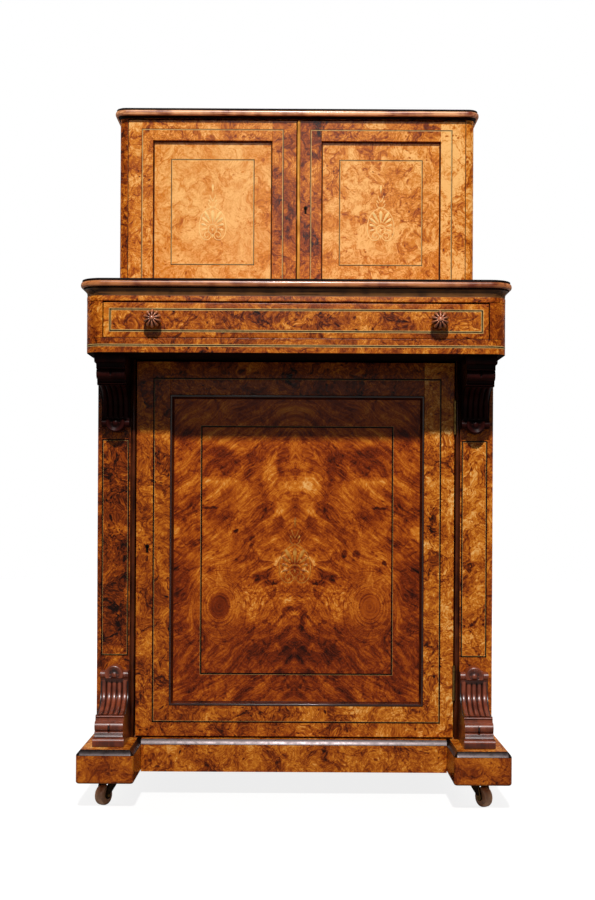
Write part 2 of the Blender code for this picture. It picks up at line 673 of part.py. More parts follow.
def cupboard_door(post, walnut, burr, brass, iron):
    """The pedestal's door, hung on the right pilaster by two butt hinges."""
    x = (-DOOR_HALF, DOOR_HALF)
    z = (PEDESTAL_BASE + DOOR_BOTTOM_GAP, CASE_BASE - DOOR_TOP_GAP)
    frame, opening = door_frame("cupboard_door_frame", x, PEDESTAL_FRONT, z, DOOR_THICKNESS,
                                DOOR_STILE, DOOR_RAIL, DOOR_SLOPE, PANEL_RECESS, PANEL_LAP, walnut)
    panel = door_panel("cupboard_door_panel", opening, PEDESTAL_FRONT, PANEL_RECESS, PANEL_LAP, burr)
    lock = door_lock("cupboard_lock", frame, x[0] + CUPBOARD_KEY_INSET, z[0] + CUPBOARD_KEY_HEIGHT,
                     PEDESTAL_FRONT, DOOR_THICKNESS, iron)
    axis = (DOOR_HALF + DOOR_GAP / 2, PEDESTAL_FRONT - HINGE_PROUD)
    moving = [frame, panel, lock]
    for place, middle in (("top", z[1] - HINGE_INSET), ("bottom", z[0] + HINGE_INSET)):
        work(frame, hinge_housing(axis, middle, -1), "DIFFERENCE", f"{place}_hinge")
        work(post, hinge_housing(axis, middle, 1), "DIFFERENCE", f"{place}_hinge")
        half = HINGE_LENGTH / 2
        fixed = hinge_leaf(f"cupboard_hinge_{place}_case_leaf", axis, middle, 1, 0, brass)
        pin = rod(HINGE_PIN_RADIUS, middle - half + SEAT, middle + half - SEAT)
        work(fixed, moved(pin, (*axis, 0)), "UNION", "pin")
        swung = hinge_leaf(f"cupboard_hinge_{place}_door_leaf", axis, middle, -1, 1, brass)
        hole = rod(HINGE_PIN_RADIUS + PIN_PLAY, middle - half, middle + half)
        work(swung, moved(hole, (*axis, 0)), "DIFFERENCE", "pin_hole")
        moving.append(swung)
    carry("cupboard_door_axis", (*axis, 0), moving)


def meeting_bead(edge, front, z):
    """Half-round bead proud of the right door's meeting edge."""
    radius = (MEETING_BEAD_WIDTH / 2, MEETING_BEAD_PROUD)
    outline = arc((edge + radius[0], front), radius, 180, 360, CARVING_STEPS)
    outline += [(edge + MEETING_BEAD_WIDTH, front + SEAT), (edge, front + SEAT)]
    return prism(in_plan(outline, z[0]), Vector((0, 0, z[1] - z[0])))


def pivot(name, side, axis, height, up, brass):
    """Plate on the case, as far out as the door's edge, and the pin that the door turns on."""
    edge = axis[0] + side * PIVOT_EDGE
    along = (edge - side * PIVOT_PLATE_LENGTH, edge)
    depth = (axis[1] - PIVOT_PLATE_WIDTH / 2, axis[1] + PIVOT_PLATE_WIDTH / 2)
    start = height + up * SEAT
    face = start + up * PIVOT_PLATE_THICKNESS
    plate = piece(name, box(along, depth, (start, face)), brass)
    play = UPPER_DOOR_RISE if up > 0 else UPPER_DOOR_TOP_GAP
    tip = height + up * (play + PIVOT_LENGTH)
    ends = sorted((start + up * PIVOT_PLATE_THICKNESS / 2, tip))
    pin = rod(PIVOT_RADIUS, *ends)
    work(plate, moved(pin, (*axis, 0)), "UNION", "pin")
    collar = rod(2 * PIVOT_RADIUS, *sorted((face - up * SEAT, height + up * (play - SEAT))))
    work(plate, moved(collar, (*axis, 0)), "UNION", "collar")


def upper_doors(walnut, burr, brass, iron):
    """Two doors on pivots at their outer edges, with a bead where they meet."""
    z = (UPPER_BASE + UPPER_DOOR_RISE, CORNICE_BASE - UPPER_DOOR_TOP_GAP)
    for side, hand in SIDES:
        meeting = side * MEETING_GAP / 2
        outer = side * UPPER_DOOR_OUTER
        x = (min(meeting, outer), max(meeting, outer))
        frame, opening = door_frame(f"{hand}_door_frame", x, UPPER_FRONT, z, UPPER_DOOR_THICKNESS,
                                    UPPER_STILE, UPPER_RAIL, 0, UPPER_PANEL_RECESS,
                                    UPPER_PANEL_LAP, walnut)
        moving = [frame]
        moving.append(door_panel(f"{hand}_door_panel", opening, UPPER_FRONT, UPPER_PANEL_RECESS,
                                 UPPER_PANEL_LAP, burr))
        if hand == "right":
            work(frame, meeting_bead(meeting, UPPER_FRONT, z), "UNION", "meeting_bead")
            moving.append(door_lock("upper_lock", frame, meeting + UPPER_KEY_INSET,
                                    z[0] + UPPER_KEY_HEIGHT, UPPER_FRONT, UPPER_DOOR_THICKNESS, iron))
        axis = (side * (UPPER_DOOR_OUTER - PIVOT_EDGE), UPPER_FRONT + PIVOT_FRONT)
        depth = PIVOT_LENGTH + 2 * SEAT
        holes = [rod(PIVOT_RADIUS + PIN_PLAY, z[0] - SEAT, z[0] + depth),
                 rod(PIVOT_RADIUS + PIN_PLAY, z[1] - depth, z[1] + SEAT)]
        work(frame, moved(together(holes), (*axis, 0)), "DIFFERENCE", "pivot_holes")
        pivot(f"{hand}_door_pivot_bottom", side, axis, UPPER_BASE, 1, brass)
        pivot(f"{hand}_door_pivot_top", side, axis, CORNICE_BASE, -1, brass)
        carry(f"{hand}_door_axis", (*axis, 0), moving)


# Drawer case and drawer

def drawer_case(walnut, carcase):
    """Floor, sides with rounded corners, back, frieze and the desk top."""
    floor = [(0, CASE_BASE + SEAT), (0, DRAWER_BASE)]
    piece("drawer_case_floor", moulded_board(CASE_HALF, CASE_FRONT, BACK, CASE_CORNER, floor), walnut,
          smooth=True)
    span = (DRAWER_BASE + SEAT, FRIEZE_BASE)
    inner = CASE_HALF - CASE_SIDE
    for side, hand in SIDES:
        outline = [(inner, CASE_FRONT)]
        outline += arc((CASE_HALF - CASE_CORNER, CASE_FRONT + CASE_CORNER), CASE_CORNER, 270, 360,
                       CORNER_STEPS)
        outline += [(CASE_HALF, BACK), (inner, BACK)]
        points = in_plan([(side * x, y) for x, y in outline], span[0])
        board = prism(points, Vector((0, 0, span[1] - span[0])))
        piece(f"drawer_case_side_{hand}", board, walnut, smooth=True)
    reach = inner - SEAT
    piece("drawer_case_back", box((-reach, reach), (BACK - CASE_BACK, BACK), span), carcase)
    rail_top = FRIEZE_BASE + FRIEZE_RAIL
    profile = [(0, FRIEZE_BASE + SEAT)] + cove(rail_top, FRIEZE_COVE_REACH, FRIEZE_COVE_HEIGHT)
    profile.append((FRIEZE_COVE_REACH, TOP_BASE))
    piece("frieze_board", moulded_board(CASE_HALF, CASE_FRONT, BACK, CASE_CORNER, profile), walnut,
          smooth=True)
    edge = nosing(TOP_BASE + SEAT, TOP_THICKNESS - SEAT, TOP_OVERHANG)
    piece("desk_top", moulded_board(CASE_HALF, CASE_FRONT, BACK, CASE_CORNER, edge), walnut, smooth=True)


def knob_shape():
    """A turned knob with a lobed rim round a small button, pointing along +Z."""
    rim_top = KNOB_REACH - KNOB_BUTTON_PROUD
    rim_half = (rim_top - KNOB_NECK_HEIGHT) / 2
    rim_middle = (KNOB_RADIUS - KNOB_RIM_WIDTH, KNOB_NECK_HEIGHT + rim_half)
    profile = [(0, SEAT), (KNOB_FOOT_RADIUS, SEAT), (KNOB_NECK_RADIUS, KNOB_FOOT_HEIGHT)]
    profile += [(KNOB_NECK_RADIUS, KNOB_NECK_HEIGHT)]
    profile += arc(rim_middle, (KNOB_RIM_WIDTH, rim_half), -80, 80, MOULDING_STEPS)
    profile += [(KNOB_BUTTON_RADIUS, rim_top - KNOB_BUTTON_PROUD / 2), (KNOB_BUTTON_RADIUS, rim_top)]
    profile += [(KNOB_BUTTON_RADIUS - KNOB_BUTTON_ROUND, KNOB_REACH), (0, KNOB_REACH)]
    bm = turned(profile, KNOB_LOBES * KNOB_FACETS_PER_LOBE)
    for vert in bm.verts:
        distance = math.hypot(vert.co.x, vert.co.y)
        if distance > KNOB_FOOT_RADIUS + SEAT:
            lobe = (1 - math.cos(KNOB_LOBES * math.atan2(vert.co.y, vert.co.x))) / 2
            share = 1 - KNOB_LOBE_DEPTH * lobe / distance
            vert.co.x *= share
            vert.co.y *= share
    return bm


def drawer(burr, lining, carved):
    """Front, grooved sides, back, bottom and two knobs."""
    half = CASE_HALF - CASE_SIDE - DRAWER_PLAY
    base = DRAWER_BASE + SEAT
    top = FRIEZE_BASE - DRAWER_PLAY
    front_back = CASE_FRONT + DRAWER_FRONT
    end = BACK - CASE_BACK - DRAWER_REAR_SPACE
    bottom = (base + DRAWER_BOTTOM_RISE, base + DRAWER_BOTTOM_RISE + DRAWER_BOTTOM)
    groove = (bottom[0] - SEAT, bottom[1] + SEAT)
    front = [(CASE_FRONT, base), (front_back, base), (front_back, groove[0])]
    front += [(front_back - DRAWER_GROOVE, groove[0]), (front_back - DRAWER_GROOVE, groove[1])]
    front += [(front_back, groove[1]), (front_back, top), (CASE_FRONT, top)]
    moving = [piece("drawer_front", prism(in_profile(front, -half), Vector((2 * half, 0, 0))), burr)]
    wall_top = top - DRAWER_WALL_DROP
    inner = half - DRAWER_WALL
    for side, hand in SIDES:
        wall = [(half, base), (half, wall_top), (inner, wall_top), (inner, groove[1])]
        wall += [(inner + DRAWER_GROOVE, groove[1]), (inner + DRAWER_GROOVE, groove[0])]
        wall += [(inner, groove[0]), (inner, base)]
        points = in_front_view([(side * x, z) for x, z in wall], front_back + SEAT)
        shape = prism(points, Vector((0, end - front_back - SEAT, 0)))
        moving.append(piece(f"drawer_side_{hand}", shape, lining))
    reach = inner - SEAT
    back = box((-reach, reach), (end - DRAWER_WALL, end), (groove[1], wall_top))
    moving.append(piece("drawer_back", back, lining))
    sunk = DRAWER_GROOVE - SEAT
    board = box((-inner - sunk, inner + sunk), (front_back - sunk, end), bottom)
    moving.append(piece("drawer_bottom", board, lining))
    forward = Matrix.Rotation(math.pi / 2, 3, "X")
    for side, hand in SIDES:
        place = (side * (half - KNOB_INSET), CASE_FRONT, (base + top) / 2)
        moving.append(piece(f"knob_{hand}", moved(knob_shape(), place, forward), carved, smooth=True))
    carry("drawer_slide", (0, CASE_FRONT, base), moving)


# Upper cabinet

def upper_cabinet(walnut, carcase):
    """Sides with rounded posts, back, shelf and cornice, standing on the desk top."""
    span = (UPPER_BASE + SEAT, CORNICE_BASE)
    inner = UPPER_HALF - UPPER_SIDE
    back_face = BACK - BACK_THICKNESS
    shelf = (UPPER_BASE + UPPER_SHELF_HEIGHT - UPPER_SHELF_THICKNESS, UPPER_BASE + UPPER_SHELF_HEIGHT)
    shelf_depth = (UPPER_FRONT + UPPER_DOOR_THICKNESS + UPPER_SHELF_SETBACK, back_face - SEAT)
    for side, hand in SIDES:
        outline = [(inner, UPPER_FRONT)]
        outline += arc((UPPER_HALF - UPPER_CORNER, UPPER_FRONT + UPPER_CORNER), UPPER_CORNER, 270, 360,
                       CORNER_STEPS)
        outline += [(UPPER_HALF, BACK), (inner, BACK)]
        points = in_plan([(side * x, y) for x, y in outline], span[0])
        board = piece(f"upper_side_{hand}", prism(points, Vector((0, 0, span[1] - span[0]))), walnut,
                      smooth=True)
        groove = box((side * (inner - SEAT), side * (inner + UPPER_HOUSING)),
                     (shelf_depth[0] - SEAT, back_face), (shelf[0] - SEAT, shelf[1] + SEAT))
        work(board, groove, "DIFFERENCE", "shelf_housing")
    reach = inner - SEAT
    piece("upper_back", box((-reach, reach), (back_face, BACK), span), carcase)
    shelf_end = inner + UPPER_HOUSING - SEAT
    piece("upper_shelf", box((-shelf_end, shelf_end), shelf_depth, shelf), carcase)
    edge = CORNICE_BASE + CORNICE_COVE_HEIGHT
    profile = cove(CORNICE_BASE + SEAT, CORNICE_COVE_REACH, CORNICE_COVE_HEIGHT - SEAT)
    profile += nosing(edge, CORNICE_THICKNESS, CORNICE_OVERHANG)[1:]
    board = moulded_board(UPPER_HALF, UPPER_FRONT, BACK, UPPER_CORNER, profile)
    piece("cornice_top", board, walnut, smooth=True)


def main():
    for thing in list(bpy.data.objects):
        bpy.data.objects.remove(thing)
    walnut = finish("polished walnut veneer", (0.20, 0.075, 0.022), 0.3)
    burr = finish("burr walnut veneer", (0.36, 0.15, 0.04), 0.28)
    carved = finish("carved walnut", (0.11, 0.035, 0.015), 0.4)
    carcase = finish("stained pine", (0.23, 0.13, 0.06), 0.6)
    lining = finish("oiled mahogany", (0.24, 0.10, 0.045), 0.5)
    brass = finish("aged brass", (0.42, 0.28, 0.12), 0.4, 1.0)
    iron = finish("blackened iron", (0.10, 0.09, 0.085), 0.5, 1.0)
    ceramic = finish("brown glazed ceramic", (0.14, 0.045, 0.025), 0.2)
    castors(brass, ceramic)
    plinth(walnut)
    post = pedestal(walnut, carcase)
    brackets(carved)
    cupboard_door(post, walnut, burr, brass, iron)
    drawer_case(walnut, carcase)
    drawer(burr, lining, carved)
    upper_cabinet(walnut, carcase)
    upper_doors(walnut, burr, brass, iron)


main()
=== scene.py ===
"""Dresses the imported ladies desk: veneers, stringing, marquetry, carving, fittings and a studio."""

import json
import math

import bmesh
import bpy
from mathutils import Matrix, Vector

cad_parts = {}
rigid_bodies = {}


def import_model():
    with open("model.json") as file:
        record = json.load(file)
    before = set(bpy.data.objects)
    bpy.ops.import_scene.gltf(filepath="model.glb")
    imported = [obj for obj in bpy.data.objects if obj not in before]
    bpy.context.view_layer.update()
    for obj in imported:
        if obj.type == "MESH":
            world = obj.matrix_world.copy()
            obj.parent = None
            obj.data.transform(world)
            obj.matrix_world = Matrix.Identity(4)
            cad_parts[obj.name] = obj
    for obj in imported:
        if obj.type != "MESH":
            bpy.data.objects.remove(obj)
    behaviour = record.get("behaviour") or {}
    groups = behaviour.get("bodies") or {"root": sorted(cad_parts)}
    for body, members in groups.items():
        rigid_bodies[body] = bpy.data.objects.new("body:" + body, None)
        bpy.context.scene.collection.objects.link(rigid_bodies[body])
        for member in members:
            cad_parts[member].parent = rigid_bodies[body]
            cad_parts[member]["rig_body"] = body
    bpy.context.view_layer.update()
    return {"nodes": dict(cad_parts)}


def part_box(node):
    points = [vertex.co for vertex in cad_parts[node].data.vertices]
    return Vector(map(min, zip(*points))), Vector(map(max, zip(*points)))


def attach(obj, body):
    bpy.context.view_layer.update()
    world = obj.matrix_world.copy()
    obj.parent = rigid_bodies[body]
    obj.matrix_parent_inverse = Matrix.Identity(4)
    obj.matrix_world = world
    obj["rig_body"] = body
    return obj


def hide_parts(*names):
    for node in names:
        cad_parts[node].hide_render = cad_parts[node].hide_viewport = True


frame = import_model()

bl_info = {
    "name": "Ladies desk",
    "version": (1, 0, 0),
    "blender": (4, 5, 0),
    "location": "3D View > Sidebar > Desk",
    "description": "Dresses a walnut ladies desk with burr veneers, inlay, carving and fittings",
    "category": "Object",
}


def linear(code):
    """An sRGB hex colour as linear red, green, blue and a full alpha."""
    values = [int(code[start:start + 2], 16) / 255 for start in (1, 3, 5)]
    return tuple(v / 12.92 if v <= 0.04045 else ((v + 0.055) / 1.055) ** 2.4 for v in values) + (1.0,)


# Sizes and colours that a user would change

def length(label, use, value):
    """A length in the sidebar."""
    return bpy.props.FloatProperty(name=label, description=use, default=value, unit="LENGTH")


def count(label, use, value):
    """A number of like things in the sidebar."""
    return bpy.props.IntProperty(name=label, description=use, default=value)


def tint(label, use, code):
    """A colour in the sidebar."""
    return bpy.props.FloatVectorProperty(
        name=label, description=use, default=linear(code), size=4, subtype="COLOR")


class DeskSizes(bpy.types.PropertyGroup):
    """Sizes of the dressing that the solids leave out."""

    arris: length("Arris", "Rounding of a polished board's edges", 0.0006)
    line: length("Stringing line", "Width of one light inlaid line", 0.0010)
    inlay: length("Inlay", "How far inlay stands out of the polish", 0.00012)
    upper_field: length(
        "Upper panel line", "From an upper door's opening in to its panel's stringing", 0.0305)
    upper_line: length(
        "Upper frame line", "From an upper door's opening out to its frame's stringing", 0.0195)
    lower_field: length(
        "Cupboard panel line", "From the cupboard door's opening in to its panel's stringing", 0.0485)
    lower_line: length(
        "Cupboard frame line", "From the cupboard door's opening out to its frame's stringing", 0.0270)
    drawer_line: length("Drawer line", "From the drawer front's edge in to its stringing", 0.0083)
    drawer_set: length("Drawer set-back", "How far the drawer front sits behind its case", 0.0012)
    upper_motif: length("Upper palmette", "Height of an upper door's palmette", 0.0950)
    lower_motif: length("Cupboard palmette", "Height of the cupboard door's palmette", 0.1040)
    reeds: count("Reeds", "Reeds across a bracket", 5)
    reed_depth: length("Reed depth", "Depth of the grooves between reeds", 0.0030)
    lobes: count("Lobes", "Lobes round a drawer knob", 10)


class DeskColours(bpy.types.PropertyGroup):
    """Colours of the finishes."""

    burr_pore: tint("Burr, pores", "Burr veneer at its darkest", "#170602")
    burr_dark: tint("Burr, dark", "Burr veneer's dark figure", "#431603")
    burr_red: tint("Burr, red", "Burr veneer's red brown", "#7b3007")
    burr_brown: tint("Burr, brown", "Burr veneer's middle brown", "#ab550f")
    burr_gold: tint("Burr, gold", "Burr veneer's gold", "#d47f22")
    burr_pale: tint("Burr, pale", "Burr veneer at its palest", "#f4b96c")
    carved: tint("Carved walnut", "Carved walnut on its high places", "#843c20")
    ebonised: tint("Ebonised edge", "Black polished edges", "#150b08")
    # painted shade for the drawer case's underside
    bare: tint("Bare walnut", "Unpolished undersides", "#1a0b05")
    boxwood: tint("Boxwood", "Pale stringing and marquetry", "#cfa866")
    marquetry: tint("Marquetry", "Pale wood of the upper palmettes", "#fcd083")
    ebony: tint("Ebony", "Dark stringing", "#100906")
    brass: tint("Brass", "Aged brass", "#a8854a")
    dark_brass: tint("Dark brass", "Brass blackened by age", "#3a2a18")
    iron: tint("Iron", "Blackened iron", "#3a332e")
    # painted light: paler than the stoneware, for wheels that sit in the plinth's shadow
    glaze: tint("Castor glaze", "Glazed castor wheels", "#f2b488")
    pine: tint("Pine", "Stained pine backs", "#96633a")
    mahogany: tint("Mahogany", "Oiled linings", "#8c4c26")
    floor: tint("Floor", "Studio floor", "#7d7c7a")


def size(name):
    """One of the dressing's sizes."""
    return getattr(bpy.context.scene.desk_sizes, name)


def colour(name):
    """One of the finishes' colours, or any other by its hex value."""
    if name.startswith("#"):
        return linear(name)
    return tuple(getattr(bpy.context.scene.desk_colours, name))


def deeper(name, share):
    """A colour darkened to a share of itself."""
    return tuple(part * share for part in colour(name)[:3]) + (1.0,)


# Finishes

def cleared(owner):
    """The emptied node tree of a material or a world."""
    owner.use_nodes = True
    owner.node_tree.nodes.clear()
    return owner.node_tree


def add(tree, kind, values):
    """Add a node; a value that is a node or a socket is linked, and any other is set."""
    node = tree.nodes.new(f"ShaderNode{kind}")
    for key, value in values.items():
        if isinstance(value, bpy.types.Node):
            value = value.outputs[0]
        if isinstance(value, bpy.types.NodeSocket):
            tree.links.new(value, node.inputs[key])
        elif key == "stops":
            ramp = node.color_ramp.elements
            ramp.remove(ramp[1])
            ramp[0].position = value[0][0]
            ramp[0].color = value[0][1]
            for position, shade in value[1:]:
                ramp.new(position).color = shade
        elif isinstance(key, int) or key in node.inputs:
            node.inputs[key].default_value = value
        else:
            setattr(node, key, value)
    return node


def blended(tree, start, patterns):
    """A running sum of patterns, each with its own weight."""
    total = start
    for pattern, weight in patterns:
        total = add(tree, "Math", {"operation": "MULTIPLY_ADD", 0: pattern, 1: weight, 2: total})
    return total


def from_middle(tree, place, middle, half):
    """How far a place is from the middle of a mark in the front view, in half sizes across and up."""
    off = add(tree, "Mapping", {
        "Location": (-middle[0] / half[0], 0.0, -middle[1] / half[1]),
        "Scale": (1 / half[0], 0.0, 1 / half[1]), "Vector": place})
    return add(tree, "VectorMath", {"operation": "LENGTH", 0: off}).outputs["Value"]


def surface(tree, shader, tone, stops, relief, gloss, span=(0.3, 0.7), bump=None):
    """Give a shader its colours by tone, and a gloss and a bump that follow its relief."""
    shade = add(tree, "ValToRGB", {"stops": stops, "Fac": tone})
    sheen = add(tree, "MapRange", {
        "From Min": span[0], "From Max": span[1], "To Min": gloss[0], "To Max": gloss[1], "Value": relief})
    tree.links.new(shade.outputs["Color"], shader.inputs["Base Color"])
    tree.links.new(sheen.outputs[0], shader.inputs["Roughness"])
    if bump:
        rise = add(tree, "Bump", {"Strength": bump[0], "Distance": bump[1], "Height": relief})
        tree.links.new(rise.outputs[0], shader.inputs["Normal"])


# the burr's colours from its pores to its palest figure, by tone
BURR_STOPS = {"pore": 0.00, "dark": 0.18, "red": 0.38, "brown": 0.56, "gold": 0.74, "pale": 0.96}

# a French polish, a touch uneven over the fibre
SHELLAC = {"gloss": (0.20, 0.30), "bump": (0.05, 0.0003)}


def veneer_stops():
    """The burr's tones and colours."""
    return [(stop, colour(f"burr_{name}")) for name, stop in BURR_STOPS.items()]


def leaf_of_veneer(tree):
    """Where a face's leaf was cut from the burr, how light it is and how strong its figure is."""
    place = add(tree, "TexCoord", {})
    leaf = add(tree, "Attribute", {"attribute_name": "leaf"})
    parts = add(tree, "SeparateColor", {0: leaf.outputs["Color"]})
    shift = add(tree, "CombineXYZ", {"X": parts, "Z": parts.outputs[1]})
    cut = add(tree, "VectorMath", {"operation": "ADD", 0: place.outputs["Object"], 1: shift})
    return cut, parts.outputs[2], leaf.outputs["Alpha"]


def burr_figure(tree, place):
    """A burr's light and dark about nought: clouds, contour lines, eyes in clusters and curly fibre."""
    sway = add(tree, "TexNoise", {"Scale": 1 / 0.046, "Detail": 2.0, "Vector": place})
    bent = add(tree, "VectorMath", {
        "operation": "MULTIPLY_ADD", 0: sway.outputs["Color"], 1: (0.046, 0.046, 0.046), 2: place})
    curl = add(tree, "TexNoise", {"Scale": 1 / 0.011, "Detail": 2.0, "Vector": bent})
    curled = add(tree, "VectorMath", {
        "operation": "MULTIPLY_ADD", 0: curl.outputs["Color"], 1: (0.011, 0.011, 0.011), 2: bent})
    cloud = add(tree, "TexNoise", {"Scale": 1 / 0.038, "Detail": 3.0, "Vector": bent})
    figure = add(tree, "TexNoise", {
        "Scale": 1 / 0.0090, "Detail": 4.0, "Roughness": 0.66, "Vector": curled})
    mottle = add(tree, "TexNoise", {"Scale": 1 / 0.0034, "Detail": 3.0, "Vector": curled})
    fibre = add(tree, "TexNoise", {"Scale": 1 / 0.0022, "Detail": 2.0, "Vector": curled})
    # lines that follow the clouds' heights, about 4 mm apart, here and there
    turns = add(tree, "Math", {"operation": "MULTIPLY", 0: cloud, 1: 62.0})
    wave = add(tree, "Math", {"operation": "SINE", 0: turns})
    drawn = add(tree, "MapRange", {"From Min": 0.25, "From Max": 1.0, "Value": wave})
    where = add(tree, "TexNoise", {"Scale": 1 / 0.040, "Detail": 2.0, "Vector": curled})
    shown = add(tree, "MapRange", {"From Min": 0.44, "From Max": 0.66, "Value": where})
    lines = add(tree, "Math", {"operation": "MULTIPLY", 0: drawn, 1: shown})
    # eyes of 2 to 4 mm where the burr is thick with buds
    buds = add(tree, "TexVoronoi", {"Scale": 1 / 0.009, "Vector": bent})
    near = add(tree, "MapRange", {
        "interpolation_type": "SMOOTHSTEP", "From Min": 0.30, "From Max": 0.10, "Value": buds})
    thick = add(tree, "TexNoise", {"Scale": 1 / 0.055, "Detail": 1.0, "Vector": place})
    cluster = add(tree, "MapRange", {"From Min": 0.50, "From Max": 0.60, "Value": thick})
    eyes = add(tree, "Math", {"operation": "MULTIPLY", 0: near, 1: cluster})
    few = add(tree, "MapRange", {"From Min": 0.35, "From Max": 0.65, "Value": buds.outputs["Color"]})
    eyes = add(tree, "Math", {"operation": "MULTIPLY", 0: eyes, 1: few})
    # a few dark veins that wander through
    path = add(tree, "TexNoise", {"Scale": 1 / 0.070, "Detail": 4.0, "Vector": curled})
    off = add(tree, "Math", {"operation": "SUBTRACT", 0: path, 1: 0.5})
    apart = add(tree, "Math", {"operation": "ABSOLUTE", 0: off})
    vein = add(tree, "MapRange", {"From Min": 0.022, "From Max": 0.004, "Value": apart})
    level = add(tree, "Math", {"operation": "MULTIPLY_ADD", 0: cloud, 1: 0.95, 2: -1.255})
    total = blended(tree, level, [
        (figure, 0.62), (mottle, 0.62), (fibre, 0.40),
        (lines, -0.20), (eyes, -0.42), (vein, -0.20)])
    return total, fibre


def burr(tree, shader):
    """Knife-cut burr, each leaf with its own place, tone and strength of figure."""
    place, tone, strength = leaf_of_veneer(tree)
    figure, fibre = burr_figure(tree, place)
    level = add(tree, "Math", {"operation": "MULTIPLY_ADD", 0: figure, 1: strength, 2: tone})
    surface(tree, shader, level, veneer_stops(), fibre, **SHELLAC)


# light and dark places in the matched leaves: the leaf (left -1, both 0, right 1), how far out from the
# middle, how far up, half width, half height, softness of the edge and weight
MATCHED_MARKS = (
    (0, 0.126, 0.529, 0.060, 0.043, 0.9, 0.15),
    (0, 0.126, 0.529, 0.041, 0.029, 0.5, -0.25),
    (-1, 0.041, 0.513, 0.013, 0.026, 0.9, 0.20),
    (1, 0.026, 0.498, 0.020, 0.019, 0.9, 0.22),
    (-1, 0.091, 0.549, 0.017, 0.014, 0.9, 0.16),
    (-1, 0.018, 0.534, 0.012, 0.030, 0.8, -0.12),
    (1, 0.058, 0.522, 0.010, 0.028, 0.8, -0.14),
    (0, 0.128, 0.488, 0.018, 0.010, 0.9, -0.12),
    (0, 0.135, 0.4566, 0.012, 0.0034, 0.5, -0.32),
    (0, 0.137, 0.446, 0.018, 0.009, 0.9, -0.12),
    (0, 0.027, 0.434, 0.011, 0.013, 0.7, -0.15),
    (0, 0.018, 0.372, 0.022, 0.036, 0.9, 0.13),
    (1, 0.078, 0.3845, 0.0062, 0.0062, 0.5, -0.28),
    (1, 0.099, 0.3845, 0.0068, 0.0072, 0.5, -0.28),
    (1, 0.1427, 0.369, 0.0042, 0.0036, 0.5, -0.34),
    (-1, 0.095, 0.420, 0.0046, 0.0040, 0.5, -0.30),
    (-1, 0.068, 0.402, 0.0050, 0.0140, 0.7, -0.20),
    (-1, 0.0855, 0.380, 0.0230, 0.0140, 0.9, -0.10),
    (-1, 0.0102, 0.311, 0.0100, 0.0130, 0.8, 0.16),
    (-1, 0.006, 0.2964, 0.0150, 0.0040, 0.9, -0.20),
    (1, 0.012, 0.2755, 0.0044, 0.0170, 0.9, -0.26),
    (1, 0.058, 0.228, 0.0150, 0.0200, 0.9, -0.14),
    (-1, 0.064, 0.231, 0.0260, 0.0160, 0.9, -0.10),
    (0, 0.0, 0.190, 0.260, 0.095, 0.9, -0.11),
    (0, 0.205, 0.400, 0.040, 0.260, 0.9, -0.05),
)


